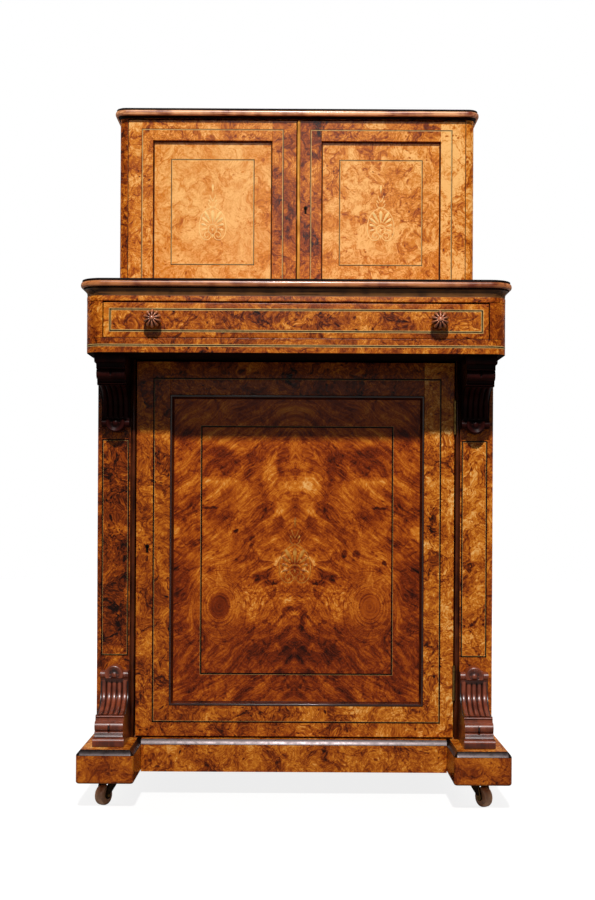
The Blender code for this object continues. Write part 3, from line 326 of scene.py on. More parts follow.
def matched_leaves(tree, shader):
    """Two matched leaves of figured walnut on the cupboard door's panel."""
    place = add(tree, "TexCoord", {})
    parts = add(tree, "SeparateXYZ", {0: place.outputs["Object"]})
    across = add(tree, "Math", {"operation": "ABSOLUTE", 0: parts.outputs["X"]})
    side = add(tree, "MapRange", {"From Min": -0.0004, "From Max": 0.0004, "Value": parts.outputs["X"]})
    folded = add(tree, "CombineXYZ", {"X": across, "Z": parts.outputs["Z"]})
    sway = add(tree, "TexNoise", {"Scale": 1 / 0.075, "Detail": 2.0, "Vector": folded})
    bent = add(tree, "VectorMath", {
        "operation": "MULTIPLY_ADD", 0: sway.outputs["Color"], 1: (0.044, 0.0, 0.044), 2: folded})
    moved = add(tree, "SeparateXYZ", {0: bent})
    # distance from the leaf's large knot, which measures 32 by 40 mm, in halves of its size
    quiver = add(tree, "VectorMath", {
        "operation": "MULTIPLY_ADD", 0: sway.outputs["Color"], 1: (0.005, 0.0, 0.005), 2: folded})
    ring = from_middle(tree, quiver, (0.1225, 0.3025), (0.016, 0.020))
    drawn = add(tree, "Math", {"operation": "MULTIPLY", 0: ring, 1: 0.018})
    pull = add(tree, "MapRange", {
        "interpolation_type": "SMOOTHERSTEP", "From Min": 3.4, "From Max": 0.8, "Value": ring})
    fall = add(tree, "Math", {
        "operation": "MULTIPLY_ADD", 0: moved.outputs["X"], 1: 0.80, 2: moved.outputs["Z"]})
    grain = add(tree, "Mix", {"data_type": "FLOAT", 0: pull, 2: fall, 3: drawn})
    along = add(tree, "Math", {
        "operation": "MULTIPLY_ADD", 0: moved.outputs["Z"], 1: -0.80, 2: moved.outputs["X"]})
    streak = add(tree, "CombineXYZ", {"X": grain, "Y": along})
    wide = add(tree, "Mapping", {"Scale": (1 / 0.014, 1 / 0.090, 1.0), "Vector": streak})
    fine = add(tree, "Mapping", {"Scale": (1 / 0.0032, 1 / 0.035, 1.0), "Vector": streak})
    bands = add(tree, "TexNoise", {"Scale": 1.0, "Detail": 4.0, "Roughness": 0.6, "Vector": wide})
    fibre = add(tree, "TexNoise", {"Scale": 1.0, "Detail": 2.0, "Vector": fine})
    cloud = add(tree, "TexNoise", {"Scale": 1 / 0.060, "Detail": 3.0, "Vector": bent})
    figure, speck = burr_figure(tree, folded)
    past = add(tree, "Math", {"operation": "SUBTRACT", 0: ring, 1: 1.0})
    near = add(tree, "Math", {"operation": "ABSOLUTE", 0: past})
    rim = add(tree, "MapRange", {"From Min": 0.12, "From Max": 0.02, "Value": near})
    level = add(tree, "Math", {"operation": "MULTIPLY_ADD", 0: bands, 1: 0.80, 2: -0.47})
    # growth rings 5 mm apart round the knot, and burr thickest below the middle
    drift = add(tree, "Math", {"operation": "MULTIPLY", 0: cloud, 1: 16.0})
    swing = add(tree, "Math", {"operation": "MULTIPLY_ADD", 0: ring, 1: math.tau / 0.30, 2: drift})
    swung = add(tree, "Math", {"operation": "SINE", 0: swing})
    dies = add(tree, "MapRange", {"From Min": 2.5, "From Max": 1.0, "Value": ring})
    rings = add(tree, "Math", {"operation": "MULTIPLY", 0: swung, 1: dies})
    lower = from_middle(tree, folded, (0.0, 0.33), (0.085, 0.085))
    thick = add(tree, "MapRange", {
        "interpolation_type": "SMOOTHSTEP", "From Min": 1.4, "From Max": 0.3, "To Min": 0.52,
        "To Max": 0.92, "Value": lower})
    buds = add(tree, "Math", {"operation": "MULTIPLY", 0: figure, 1: thick})
    patterns = [(fibre, 0.46), (cloud, 0.70), (buds, 1.0),
                (rings, 0.04), (rim, -0.12), (side, -0.02)]
    # the marks' edges wander by 2 or 3 mm, as figure does, about half of the noise's reach
    reach = 0.012
    wander = add(tree, "TexNoise", {"Scale": 1 / 0.010, "Detail": 3.0, "Vector": folded})
    leaves = [add(tree, "VectorMath", {
        "operation": "MULTIPLY_ADD", 0: wander.outputs["Color"], 1: (reach, 0.0, reach), 2: flat})
        for flat in (folded, place.outputs["Object"])]
    for hand, out, up, half, tall, soft, weight in MATCHED_MARKS:
        middle = (hand * out if hand else out) + reach / 2
        far = from_middle(tree, leaves[abs(hand)], (middle, up + reach / 2), (half, tall))
        spread = add(tree, "MapRange", {
            "interpolation_type": "SMOOTHSTEP", "From Min": 1 + 0.3 * soft, "From Max": 1 - 0.7 * soft,
            "Value": far})
        patterns.append((spread, weight))
    total = blended(tree, level, patterns)
    # the knots are even in tone, the left leaf's darker than the right's
    knot = add(tree, "MapRange", {
        "interpolation_type": "SMOOTHSTEP", "From Min": 1.04, "From Max": 0.86, "To Max": 0.62,
        "Value": ring})
    heart = add(tree, "MapRange", {
        "From Min": -0.01, "From Max": 0.01, "To Min": 0.08, "To Max": 0.36, "Value": parts.outputs["X"]})
    heart = blended(tree, heart, [(fibre, 0.22), (swung, 0.03)])
    tone = add(tree, "Mix", {"data_type": "FLOAT", 0: knot, 2: total, 3: heart})
    # the matched leaves' darker figure is redder than the burr round them
    redder = [(stop, (red, (0.68 + 0.32 * stop) * green, (0.50 + 0.50 * stop) * blue, alpha))
              for stop, (red, green, blue, alpha) in veneer_stops()]
    surface(tree, shader, tone, redder, speck, **SHELLAC)


def straight_grain(tree, shader, along, dark, light):
    """Long grain 2 mm wide along one axis: quiet streaks that run with the moulding."""
    place = add(tree, "TexCoord", {})
    scale = [1 / 0.0022, 1 / 0.0022, 1 / 0.0022]
    scale[along] = 1 / 0.070
    drawn = add(tree, "Mapping", {"Scale": scale, "Vector": place.outputs["Object"]})
    grain = add(tree, "TexNoise", {"Scale": 1.0, "Detail": 3.0, "Vector": drawn})
    cloud = add(tree, "TexNoise", {"Scale": 1 / 0.028, "Detail": 3.0, "Vector": place.outputs["Object"]})
    total = blended(tree, cloud, [(grain, 0.8)])
    surface(tree, shader, total, [(0.68, colour(dark)), (1.08, colour(light))], grain, (0.24, 0.36),
            bump=(0.06, 0.0003))


def sawn_grain(tree, shader, along, shade, roughness):
    """Annual rings 5 mm apart drawn out along a board, with fine pores, left matt."""
    place = add(tree, "TexCoord", {})
    scale = [1 / 0.005, 1 / 0.005, 1 / 0.005]
    scale[along] = 1 / 0.180
    drawn = add(tree, "Mapping", {"Scale": scale, "Vector": place.outputs["Object"]})
    rings = add(tree, "TexNoise", {"Scale": 1.0, "Detail": 4.0, "Distortion": 0.4, "Vector": drawn})
    stain = add(tree, "TexNoise", {"Scale": 1 / 0.120, "Detail": 3.0, "Vector": place.outputs["Object"]})
    finer = add(tree, "Mapping", {"Scale": (3.0, 3.0, 3.0), "Vector": drawn})
    pores = add(tree, "TexNoise", {"Scale": 1.0, "Detail": 3.0, "Vector": finer})
    total = blended(tree, rings, [(stain, 0.5), (pores, 0.5)])
    surface(tree, shader, total, [(0.74, deeper(shade, 0.36)), (1.20, colour(shade))], rings,
            (roughness - 0.08, roughness + 0.08), (0.0, 1.0), (0.15, 0.0004))


def carving(tree, shader, high, middle, deep):
    """Gouge work: glossy high places, and painted shade down in the flutes, from each vertex's hollow layer.
    """
    place = add(tree, "TexCoord", {})
    drawn = add(tree, "Mapping", {
        "Scale": (1 / 0.002, 1 / 0.002, 1 / 0.035), "Vector": place.outputs["Object"]})
    grain = add(tree, "TexNoise", {"Scale": 1.0, "Detail": 3.0, "Vector": drawn})
    cloud = add(tree, "TexNoise", {"Scale": 1 / 0.018, "Detail": 2.0, "Vector": place.outputs["Object"]})
    # painted shade: the hollow layer darkens grooves, quirks and dishes toward the deep colour
    hollow = add(tree, "Attribute", {"attribute_name": "hollow"})
    total = blended(tree, cloud, [(grain, 0.5), (hollow.outputs["Fac"], -0.60)])
    stops = [(0.15, colour(deep)), (0.50, colour(middle)), (0.88, colour(high))]
    surface(tree, shader, total, stops, grain, (0.30, 0.42), bump=(0.12, 0.0004))


def clouds(tree, shader, shade, depth, grit, roughness):
    """Colour and gloss that vary in soft clouds of a given size, down to a share of the colour."""
    place = add(tree, "TexCoord", {})
    cloud = add(tree, "TexNoise", {"Scale": 1 / grit, "Detail": 4.0, "Vector": place.outputs["Object"]})
    surface(tree, shader, cloud, [(0.32, deeper(shade, depth)), (0.62, colour(shade))], cloud,
            (roughness + 0.08, roughness - 0.06), bump=(0.08, 0.0003))


def darkened_inlay(tree, shader, *shades):
    """Inlay in clouds of 11 mm under polish that has darkened here and there."""
    place = add(tree, "TexCoord", {})
    cloud = add(tree, "TexNoise", {"Scale": 1 / 0.011, "Detail": 3.0, "Vector": place.outputs["Object"]})
    stops = [(stop, colour(shade)) for stop, shade in zip((0.30, 0.50, 0.70), shades)]
    surface(tree, shader, cloud, stops, cloud, (0.30, 0.42), (0.0, 1.0))


POLISH = {"Specular IOR Level": 0.22, "IOR": 1.5, "Coat Weight": 0.08, "Coat Roughness": 0.16,
          "Coat IOR": 1.45}
GLINT = {"Specular IOR Level": 0.4, "IOR": 1.5, "Coat Weight": 0.22, "Coat Roughness": 0.12, "Coat IOR": 1.5}
VARNISH = {"Specular IOR Level": 0.5, "Coat Weight": 1.0, "Coat Roughness": 0.12}
WORN = {"Specular IOR Level": 0.6, "Coat Weight": 0.5, "Coat Roughness": 0.24}
RUBBED = {"Specular IOR Level": 0.8, "Coat Weight": 1.0, "Coat Roughness": 0.12}
GLAZE = {"Specular IOR Level": 0.5, "Coat Weight": 0.7, "Coat Roughness": 0.12}
WARM_SHEEN = {"Specular IOR Level": 0.48, "Specular Tint": linear("#f7e0df")}
SCRAPED = {"Specular IOR Level": 0.3}
PLANED = {"Specular IOR Level": 0.2}
STAINED = {"Specular IOR Level": 0.08}
DULL = {"Specular IOR Level": 0.05}
METAL = {"Metallic": 1.0}

# each finish: the material and how it was made, its shader's settings, and how it is painted
FINISHES = {
    # gold clouds, dark eyes and contour lines under a soft shellac gloss
    "burr": ("burr walnut veneer, French polished", POLISH, burr),
    # grain falls away from the middle, rings two knots and breaks into burr
    "matched": ("book-matched walnut veneer, French polished", POLISH, matched_leaves),
    # red streaks across the desk under a fresh polish that glints
    "nosing": ("walnut nosing, planed and polished", GLINT, straight_grain, 0, "#6c2b15", "#c07644"),
    # the same streaks, paler on the cornice as painted light
    "cornice": ("walnut cornice, planed and faded", GLINT, straight_grain, 0, "#833e27", "#eaa672"),
    # olive brown streaks along the frieze's cove, darkened as painted shade under the desk top's nosing
    "cove": ("walnut cove, stained and polished", POLISH, straight_grain, 0, "#321c0e", "#6c4420"),
    # dark red and dull in the hollow round the cupboard panel
    "hollow": ("walnut hollow, stained dark", DULL, straight_grain, 2, "#1e0803", "#54200c"),
    # pale streaks up the meeting bead
    "bead": ("walnut bead, scraped and polished", POLISH, straight_grain, 2, "#b4722a", "#f0b050"),
    # dark streaks on the smaller mouldings
    "dark": ("stained walnut moulding, polished, grain z", POLISH, straight_grain, 2, "#260d05", "#562610"),
    # nearly black, and a light line only where it faces the lamp
    "varnished": ("walnut bead, stained dark and varnished", VARNISH, straight_grain, 0, "#140604",
                  "#361409"),
    # matt yellow brown boards, their rings along or up the desk
    "pine_x": ("pine board, sawn and stained, grain x", PLANED, sawn_grain, 0, "pine", 0.62),
    "pine_z": ("pine board, sawn and stained, grain z", PLANED, sawn_grain, 2, "pine", 0.62),
    # red brown boards with a faint sheen from the oil
    "mahogany_x": ("mahogany lining, planed and oiled, grain x", PLANED, sawn_grain, 0, "mahogany", 0.48),
    "mahogany_y": ("mahogany lining, planed and oiled, grain y", PLANED, sawn_grain, 1, "mahogany", 0.48),
    # red, with painted shade down in its grooves and quirks
    "scroll": ("carved walnut, stained and polished", WORN, carving, "carved", "#4e1c0c", "#0c0302"),
    # rubbed red by hands, with painted shade near black down in the grooves
    "knob": ("carved walnut, rubbed by hand", RUBBED, carving, "#c87a50", "#6a2a14", "#040101"),
    # nearly black: the carved walnut darkened as painted shade for the consoles under the drawer case
    "smoked": ("carved walnut, dark stained", DULL, carving, "#2e0e0b", "#180605", "#070202"),
    # black stain under a rubbed polish: a dark line with a warm grey sheen
    "ebonised": ("walnut, ebonised and polished", WARM_SHEEN, clouds, "ebonised", 0.4, 0.009, 0.30),
    # left dull, so the tops' upper edges read as a plain black line; the same black is painted shade on the
    # frieze's fillet under the desk top and in the cove under the cornice's bead
    "black": ("walnut, stained black", STAINED, clouds, "ebonised", 0.5, 0.012, 0.55),
    # nearly black and matt: painted shade on the drawer case's underside
    "bare": ("walnut, planed and left bare", DULL, clouds, "bare", 0.5, 0.030, 0.80),
    # scraped level with the veneer: a quiet pale line, yellowed by polish
    "boxwood": ("boxwood inlay, scraped and polished", SCRAPED, clouds, "boxwood", 0.62, 0.006, 0.34),
    # a warm pale figure, shaded here and there with hot sand
    "marquetry": ("boxwood marquetry, sand shaded and polished", SCRAPED, clouds, "marquetry", 0.72, 0.008,
                  0.34),
    # a figure that stands out only a little
    "faded": ("boxwood inlay under old polish", SCRAPED, darkened_inlay, "#7c4010", "#aa661e", "#cc9040"),
    # scraped level: a thin near-black line
    "ebony": ("ebony inlay, scraped and polished", STAINED, clouds, "ebony", 0.5, 0.005, 0.32),
    # dull gold with brown patina in clouds
    "brass": ("brass, cast and aged", METAL, clouds, "brass", 0.35, 0.004, 0.38),
    # dull and nearly black, with a little metal left on its high places
    "dark_brass": ("brass, cast and blackened by age", METAL, clouds, "dark_brass", 0.4, 0.004, 0.46),
    # dark grey metal, dull and a little rough
    "iron": ("iron, forged and blackened", METAL, clouds, "iron", 0.45, 0.003, 0.50),
    # pale brown under a glaze, made paler as painted light for wheels that sit in the plinth's shadow
    "glaze": ("stoneware, glazed", GLAZE, clouds, "glaze", 0.72, 0.005, 0.30),
}


def finish(kind):
    """A finish by its short name, made the first time that it is asked for."""
    name, settings, paint, *look = FINISHES[kind]
    if name not in bpy.data.materials:
        tree = cleared(bpy.data.materials.new(name))
        shader = add(tree, "BsdfPrincipled", settings)
        add(tree, "OutputMaterial", {"Surface": shader})
        paint(tree, shader, *look)
    return bpy.data.materials[name]


# Making pieces

def copy_of(node):
    """A merged copy of a solid, with its flat faces whole again."""
    bm = bmesh.new()
    bm.from_mesh(frame["nodes"][node].data)
    bmesh.ops.remove_doubles(bm, verts=bm.verts, dist=0.000002)
    bmesh.ops.dissolve_limit(bm, angle_limit=math.radians(0.4), verts=bm.verts, edges=bm.edges)
    return bm


def blank():
    """An empty mesh whose faces can take leaves of veneer."""
    bm = bmesh.new()
    bm.faces.layers.float_color.new("leaf")
    return bm


def board(bm, low, high):
    """A squared board between two corners; gives its faces."""
    low = Vector(low)
    high = Vector(high)
    place = Matrix.Translation((low + high) / 2) @ Matrix.Diagonal((*(high - low), 1.0))
    made = bmesh.ops.create_cube(bm, size=1.0, matrix=place)["verts"]
    return list({face for vert in made for face in vert.link_faces})


def lay(bm, faces, shift, tone, strength=1.0):
    """Lay a leaf of veneer on some faces: its place in the burr, its tone and how strong its figure is."""
    leaf = bm.faces.layers.float_color.get("leaf")
    if leaf is None:
        bm.faces.index_update()
        held = [face.index for face in faces]
        leaf = bm.faces.layers.float_color.new("leaf")
        bm.faces.ensure_lookup_table()
        faces = [bm.faces[index] for index in held]
    for face in faces:
        face[leaf] = (shift[0], shift[1], tone, strength)


def split(bm, axis, value):
    """Score a whole mesh along a plane square to one axis, so that faces part there."""
    square = Vector((0, 0, 0))
    square[axis] = 1
    bmesh.ops.bisect_plane(bm, geom=bm.verts[:] + bm.edges[:] + bm.faces[:], dist=0.000001,
                           plane_co=square * value, plane_no=square)


def ease(bm, width):
    """Round the sharp edges a little, as sanding and polishing leave them."""
    sharp = [edge for edge in bm.edges if edge.is_manifold and edge.calc_face_angle(0) > math.radians(32)]
    bmesh.ops.bevel(bm, geom=sharp, offset=width, offset_type="OFFSET", segments=2, profile=0.5,
                    affect="EDGES", material=-1, clamp_overlap=True)


def drawn_out(bm, faces, way):
    """Draw some faces out along a way; gives the new verts."""
    made = bmesh.ops.extrude_face_region(bm, geom=faces)["geom"]
    made = [part for part in made if isinstance(part, bmesh.types.BMVert)]
    bmesh.ops.translate(bm, verts=made, vec=way)
    return made


def prism(bm, outline, way):
    """A closed outline drawn out along a way; gives its faces."""
    face = bm.faces.new([bm.verts.new(point) for point in outline])
    made = drawn_out(bm, [face], way)
    faces = list({face, *(part for vert in made for part in vert.link_faces)})
    bmesh.ops.recalc_face_normals(bm, faces=faces)
    return faces


def mitred(corners, y, steps):
    """Strips mitred round a rectangle, from the outside in; each step is a width, a rise and a finish."""
    (left, bottom), (right, top) = corners
    outline = ((left, bottom), (right, bottom), (right, top), (left, top))
    bm = bmesh.new()
    face = bm.faces.new([bm.verts.new((x, y, z)) for x, z in outline])
    face.normal_update()
    for width, rise, kind in steps:
        ring = bmesh.ops.inset_region(bm, faces=[face], thickness=width, depth=rise, use_boundary=True,
                                      use_even_offset=True)["faces"]
        for part in ring:
            part.material_index = kind
    bmesh.ops.delete(bm, geom=[face], context="FACES")
    return bm


def placed(name, data):
    """A new object in the scene."""
    thing = bpy.data.objects.new(name, data)
    bpy.context.scene.collection.objects.link(thing)
    return thing


def piece(name, bm, body, finishes, stands_for=(), smooth=50):
    """Make a finished piece that rides on a body, with its finishes, and hide the solids that it stands for.
    """
    mesh = bpy.data.meshes.new(name)
    bm.to_mesh(mesh)
    bm.free()
    for kind in finishes:
        mesh.materials.append(finish(kind))
    mesh.shade_smooth()
    mesh.set_sharp_from_angle(angle=math.radians(smooth))
    thing = placed(name, mesh)
    even = thing.modifiers.new("even normals", "WEIGHTED_NORMAL")
    even.keep_sharp = True
    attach(thing, body)
    if stands_for:
        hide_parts(*stands_for)


def body_of(node):
    """The body that a solid rides on."""
    return frame["nodes"][node]["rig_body"]


def dress(node, kind, shift=(0.0, 0.0), tone=0.5, strength=1.0, arris=None, inside=None):
    """Give a solid its eased edges and its finish, or another where a side board looks inside."""
    bm = copy_of(node)
    lay(bm, bm.faces[:], shift, tone, strength)
    if inside:
        for face in bm.faces:
            inner = abs(face.normal.x) > 0.9 and face.normal.x * face.calc_center_median().x < 0
            face.material_index = 1 if inner else 0
    width = size("arris") if arris is None else arris
    if width:
        ease(bm, width)
    kinds = [kind, inside] if inside else [kind]
    piece(f"{node}_finished", bm, body_of(node), kinds, (node,))


# how deep inlay is let into the wood
LET_IN = 0.0002


def stringing(name, body, corners, front, lines):
    """Inlay lines round a rectangle, from the outside in, flush in a face that looks to the front."""
    bm = mitred(corners, front + LET_IN, [(width, 0.0, kind) for width, kind in lines])
    drawn_out(bm, bm.faces[:], (0, -(size("inlay") + LET_IN), 0))
    bmesh.ops.recalc_face_normals(bm, faces=bm.faces)
    piece(name, bm, body, ["boxwood", "ebony"], smooth=30)


def edged(dark, light):
    """A dark line with a pale one inside it."""
    return [(dark, 1), (light, 0)]


def arc(middle, radius, start, end, steps):
    """Points along an arc, with its angles in degrees."""
    angles = [math.radians(start + (end - start) * step / steps) for step in range(steps + 1)]
    return [(middle[0] + radius * math.cos(a), middle[1] + radius * math.sin(a)) for a in angles]


def chain(bm, points):
    """A line of edges through some points, ready to spin."""
    verts = [bm.verts.new(point) for point in points]
    edges = [bm.edges.new(pair) for pair in zip(verts, verts[1:])]
    return verts + edges


def turned(bm, profile, middle, axis, steps):
    """Spin a profile of (radius, distance along the axis) into a closed shape; gives its verts."""
    axis = Vector(axis).normalized()
    out = axis.orthogonal().normalized()
    before = set(bm.verts)
    points = [Vector(middle) + out * radius + axis * along for radius, along in profile]
    bmesh.ops.spin(bm, geom=chain(bm, points), cent=middle, axis=axis, angle=math.tau, steps=steps,
                   use_merge=True, use_duplicate=False)
    made = [vert for vert in bm.verts if vert not in before]
    bmesh.ops.remove_doubles(bm, verts=made, dist=0.000005)
    made = [vert for vert in bm.verts if vert not in before]
    faces = list({face for vert in made for face in vert.link_faces})
    bmesh.ops.recalc_face_normals(bm, faces=faces)
    return made


def moulded(bm, middle, half, front, back, corner, profile):
    """A board whose front and side edges follow a profile of (inset, height, finish) from its base up."""
    rings = []
    for inset, height, _ in profile:
        side = half - inset
        near = front + inset
        radius = max(corner - inset, 0.0004)
        outline = [(side, back)] + [(x, 2 * (near + radius) - y)
                                    for x, y in arc((side - radius, near + radius), radius, 0, 90, 10)]
        outline += [(-x, y) for x, y in reversed(outline)]
        rings.append([bm.verts.new((middle + x, y, height)) for x, y in outline])
    around = len(rings[0])
    for lower, upper, level in zip(rings, rings[1:], profile):
        for step in range(around):
            after = (step + 1) % around
            face = bm.faces.new((lower[step], lower[after], upper[after], upper[step]))
            face.material_index = level[2] if after else 0
    bm.faces.new(rings[0])
    bm.faces.new(rings[-1])
    bmesh.ops.recalc_face_normals(bm, faces=bm.faces)


def ease_in(value, start, end):
    """Smooth step from nought at start to one at end."""
    share = min(max((value - start) / (end - start), 0.0), 1.0)
    return share * share * (3 - 2 * share)


# Marquetry

def strokes(bm, paths, radius, place):
    """Thin bent lines of inlay through points in the front view, laid in the face."""
    curve = bpy.data.curves.new("strokes", "CURVE")
    curve.dimensions = "3D"
    curve.bevel_depth = radius
    curve.bevel_resolution = 1
    curve.resolution_u = 8
    curve.use_fill_caps = True
    for path in paths:
        spline = curve.splines.new("BEZIER")
        spline.bezier_points.add(len(path) - 1)
        for knot, (x, z) in zip(spline.bezier_points, path):
            knot.co = (x, 0, z)
            knot.handle_left_type = "AUTO"
            knot.handle_right_type = "AUTO"
    holder = bpy.data.objects.new("strokes", curve)
    mesh = bpy.data.meshes.new_from_object(holder)
    before = set(bm.verts)
    bm.from_mesh(mesh)
    made = [vert for vert in bm.verts if vert not in before]
    bmesh.ops.transform(bm, matrix=place, verts=made)
    bpy.data.objects.remove(holder)
    bpy.data.curves.remove(curve)
    bpy.data.meshes.remove(mesh)


def petal(bm, foot, tip, half_width, place):
    """A drop-shaped slip of inlay between two points, broad towards its tip."""
    foot = Vector((foot[0], 0, foot[1]))
    tip = Vector((tip[0], 0, tip[1]))
    made = bmesh.ops.create_uvsphere(bm, u_segments=14, v_segments=10, radius=1.0)["verts"]
    for vert in made:
        vert.co.x *= 0.55 + 0.45 * vert.co.z
    long = (tip - foot).length / 2
    turn = Vector((0, 0, 1)).rotation_difference(tip - foot).to_matrix().to_4x4()
    drop = Matrix.Diagonal((half_width * 1.3, half_width, long, 1.0))
    shape = Matrix.Translation((foot + tip) / 2) @ turn @ drop
    bmesh.ops.transform(bm, matrix=place @ shape, verts=made)


# a palmette, measured in units from its rosette's middle: its height, the ends and half width of its slips
# in the middle and on the right, and the bent lines of its rosette and its right side
PALMETTE_HEIGHT = 95.0
MIDDLE_PETALS = (((0.0, 9.6), (0.0, 32.6), 3.2), ((0.0, 61.6), (0.0, 76.6), 2.1),
                 ((0.0, -4.2), (0.0, 1.0), 2.0), ((0.0, -16.0), (0.0, -8.6), 1.6))
SIDE_PETALS = (((2.4, 10.6), (13.6, 30.0), 2.9), ((5.4, 9.4), (18.2, 19.4), 2.6),
               ((8.4, 5.6), (19.4, 8.6), 2.2), ((8.6, 0.6), (18.4, -1.6), 1.7),
               ((3.0, 44.6), (7.2, 50.4), 1.3))
ROSETTE = [(-6.0, -5.2), (-7.6, 1.0), (-5.2, 6.0), (0.0, 7.8), (5.2, 6.0), (7.6, 1.0), (6.0, -5.2)]
VOLUTE = ((2.0, 37.0), (8.5, 34.0), (16.5, 26.5), (21.2, 15.5), (22.8, 2.0), (21.6, -7.0), (17.0, -15.0),
          (10.5, -18.3), (4.4, -15.8), (2.4, -10.6), (5.0, -6.0), (10.0, -5.2), (13.6, -8.8), (12.2, -13.0),
          (8.6, -13.6), (7.2, -11.0))
CUP = ((0.0, 37.4), (4.6, 39.2), (7.6, 44.8))
TULIP = ((0.0, 47.6), (2.6, 52.0), (5.0, 58.6))


def palmette(name, body, opening, face_y, height, kind):
    """A palmette of boxwood slips in the middle of a door: volutes, a rosette, petals, a cup and a spear."""
    x, z = [(a + b) / 2 for a, b in zip(*opening)]
    unit = height / PALMETTE_HEIGHT
    relief = 0.22
    below_middle = 0.305
    flat = Matrix.Diagonal((unit, unit * relief, unit, 1.0))
    place = Matrix.Translation((x, face_y + 0.00006, z - height * below_middle)) @ flat
    bm = bmesh.new()
    paths = [ROSETTE]
    for hand in (-1, 1):
        paths += [[(hand * out, up) for out, up in path] for path in (VOLUTE, CUP, TULIP)]
        for foot, tip, half_width in SIDE_PETALS:
            petal(bm, (hand * foot[0], foot[1]), (hand * tip[0], tip[1]), half_width, place)
    for foot, tip, half_width in MIDDLE_PETALS:
        petal(bm, foot, tip, half_width, place)
    strokes(bm, paths, 0.70, place)
    piece(name, bm, body, [kind], smooth=60)


def keyhole(name, body, lock, front):
    """A keyhole in front of a lock: a black plug, painted shade for the hole, in a thin brass thread."""
    low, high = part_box(lock)
    x = (low.x + high.x) / 2
    z = (low.z + high.z) / 2
    bm = bmesh.new()
    turned(bm, [(0.0, 0.00025), (0.0029, 0.00025), (0.0030, -0.0006), (0.0, -0.0006)], (x, front, z),
           (0, -1, 0), 24)
    board(bm, (x - 0.0015, front - 0.00025, z - 0.0094), (x + 0.0015, front + 0.0006, z))
    # the plug's faces are ebony: painted shade where the hole's dark inside would be
    dark = set(bm.faces)
    turned(bm, [(0.0030, 0.0003), (0.0034, 0.0003), (0.0035, -0.0004), (0.0030, -0.0004), (0.0030, 0.0003)],
           (x, front, z), (0, -1, 0), 24)
    thread = ((-0.0019, -0.0098, -0.0015, -0.0028), (0.0015, -0.0098, 0.0019, -0.0028),
              (-0.0019, -0.0098, 0.0019, -0.0094))
    for left, bottom, right, top in thread:
        board(bm, (x + left, front - 0.0003, z + bottom), (x + right, front + 0.0004, z + top))
    for face in bm.faces:
        middle = face.calc_center_median()
        inside = math.hypot(middle.x - x, middle.z - z) < 0.0029
        face.material_index = 0 if inside or face in dark else 1
    piece(name, bm, body, ["ebony", "dark_brass"], smooth=40)


# Operators, one for each piece or group of like pieces

class DressPlinth(bpy.types.Operator):
    """Veneer the plinth's runners and rail, and ebonise their moulded edge"""
    bl_idname = "desk.plinth"
    bl_label = "Plinth"

    def edge(self, top, deep):
        """Inset and height of the ebonised edge: a quirk, and a broad chamfer that rolls back to its top."""
        steps = [step / 6 for step in range(7)]
        chamfer = [(deep * (0.70 + 0.30 * t) * t, top - 0.0080 * (1 - t)) for t in steps]
        return [(0.0, top - 0.0086), (0.0005, top - 0.0083)] + chamfer

    def execute(self, context):
        for side, hand, deep in (("left", -1, 0.0069), ("right", 1, 0.0059)):
            node = f"plinth_runner_{side}"
            low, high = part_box(node)
            bm = blank()
            round_foot = 0.0036
            profile = [(round_foot - x, low.z + round_foot + z, 0)
                       for x, z in arc((0, 0), round_foot, -90, 0, 6)]
            profile += [(inset, height, 1) for inset, height in self.edge(high.z, deep)]
            moulded(bm, (low.x + high.x) / 2, (high.x - low.x) / 2, low.y, high.y, 0.006, profile)
            lay(bm, bm.faces[:], (0.4 * hand, 0.2), 0.50, 0.68)
            lay(bm, [f for f in bm.faces if f.normal.z > 0.9], (0.7, 0.5 * hand), 0.62)
            piece(f"{node}_finished", bm, "desk", ["burr", "ebonised"], (node,))
        node = "plinth_front_rail"
        low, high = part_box(node)
        bm = bmesh.new()
        deep = 0.0049
        section = [(low.y, low.z)] + [(low.y + inset, height) for inset, height in self.edge(high.z, deep)]
        section += [(high.y, high.z), (high.y, low.z)]
        prism(bm, [(low.x, y, z) for y, z in section], (high.x - low.x, 0, 0))
        lay(bm, bm.faces[:], (0.15, 0.9), 0.57)
        for face in bm.faces:
            middle = face.calc_center_median()
            edge = middle.z > high.z - 0.0087 and middle.y < low.y + deep and abs(face.normal.x) < 0.5
            face.material_index = 1 if edge else 0
        piece(f"{node}_finished", bm, "desk", ["burr", "ebonised"], (node,))
        return {"FINISHED"}


class DressCastors(bpy.types.Operator):
    """Turn the castors' glazed wheels, and finish their horns and plates"""
    bl_idname = "desk.castors"
    bl_label = "Castors"

    def execute(self, context):
        for end in ("front", "back"):
            for side in ("left", "right"):
                place = f"{end}_{side}"
                dress(f"castor_plate_{place}", "brass", arris=0)
                node = f"castor_wheel_{place}"
                low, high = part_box(node)
                middle = (low + high) / 2
                plate_low, plate_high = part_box(f"castor_plate_{place}")
                trail = middle - (plate_low + plate_high) / 2
                axle = Vector((trail.y, -trail.x, 0)).normalized()
                radius = (high.z - low.z) / 2
                horn = f"castor_horn_{place}"
                bm = copy_of(horn)
                for face in bm.faces:
                    off = face.calc_center_median() - middle
                    face.material_index = 1 if (off - axle * off.dot(axle)).length < 0.0034 else 0
                piece(f"{horn}_finished", bm, body_of(horn), ["dark_brass", "brass"], (horn,))
                cheek = [(0.0022, 0.0066), (0.0046, 0.0070), (0.0056, 0.0063), (0.0104, 0.0060),
                         (0.0118, 0.0067), (radius - 0.0012, 0.0058), (radius - 0.0003, 0.0040)]
                back = [(r, -a) for r, a in reversed(cheek)]
                bm = bmesh.new()
                turned(bm, cheek + [(radius, 0.0)] + back + cheek[:1], middle, axle, 48)
                piece(f"{node}_finished", bm, body_of(node), ["glaze"], (node,))
        return {"FINISHED"}


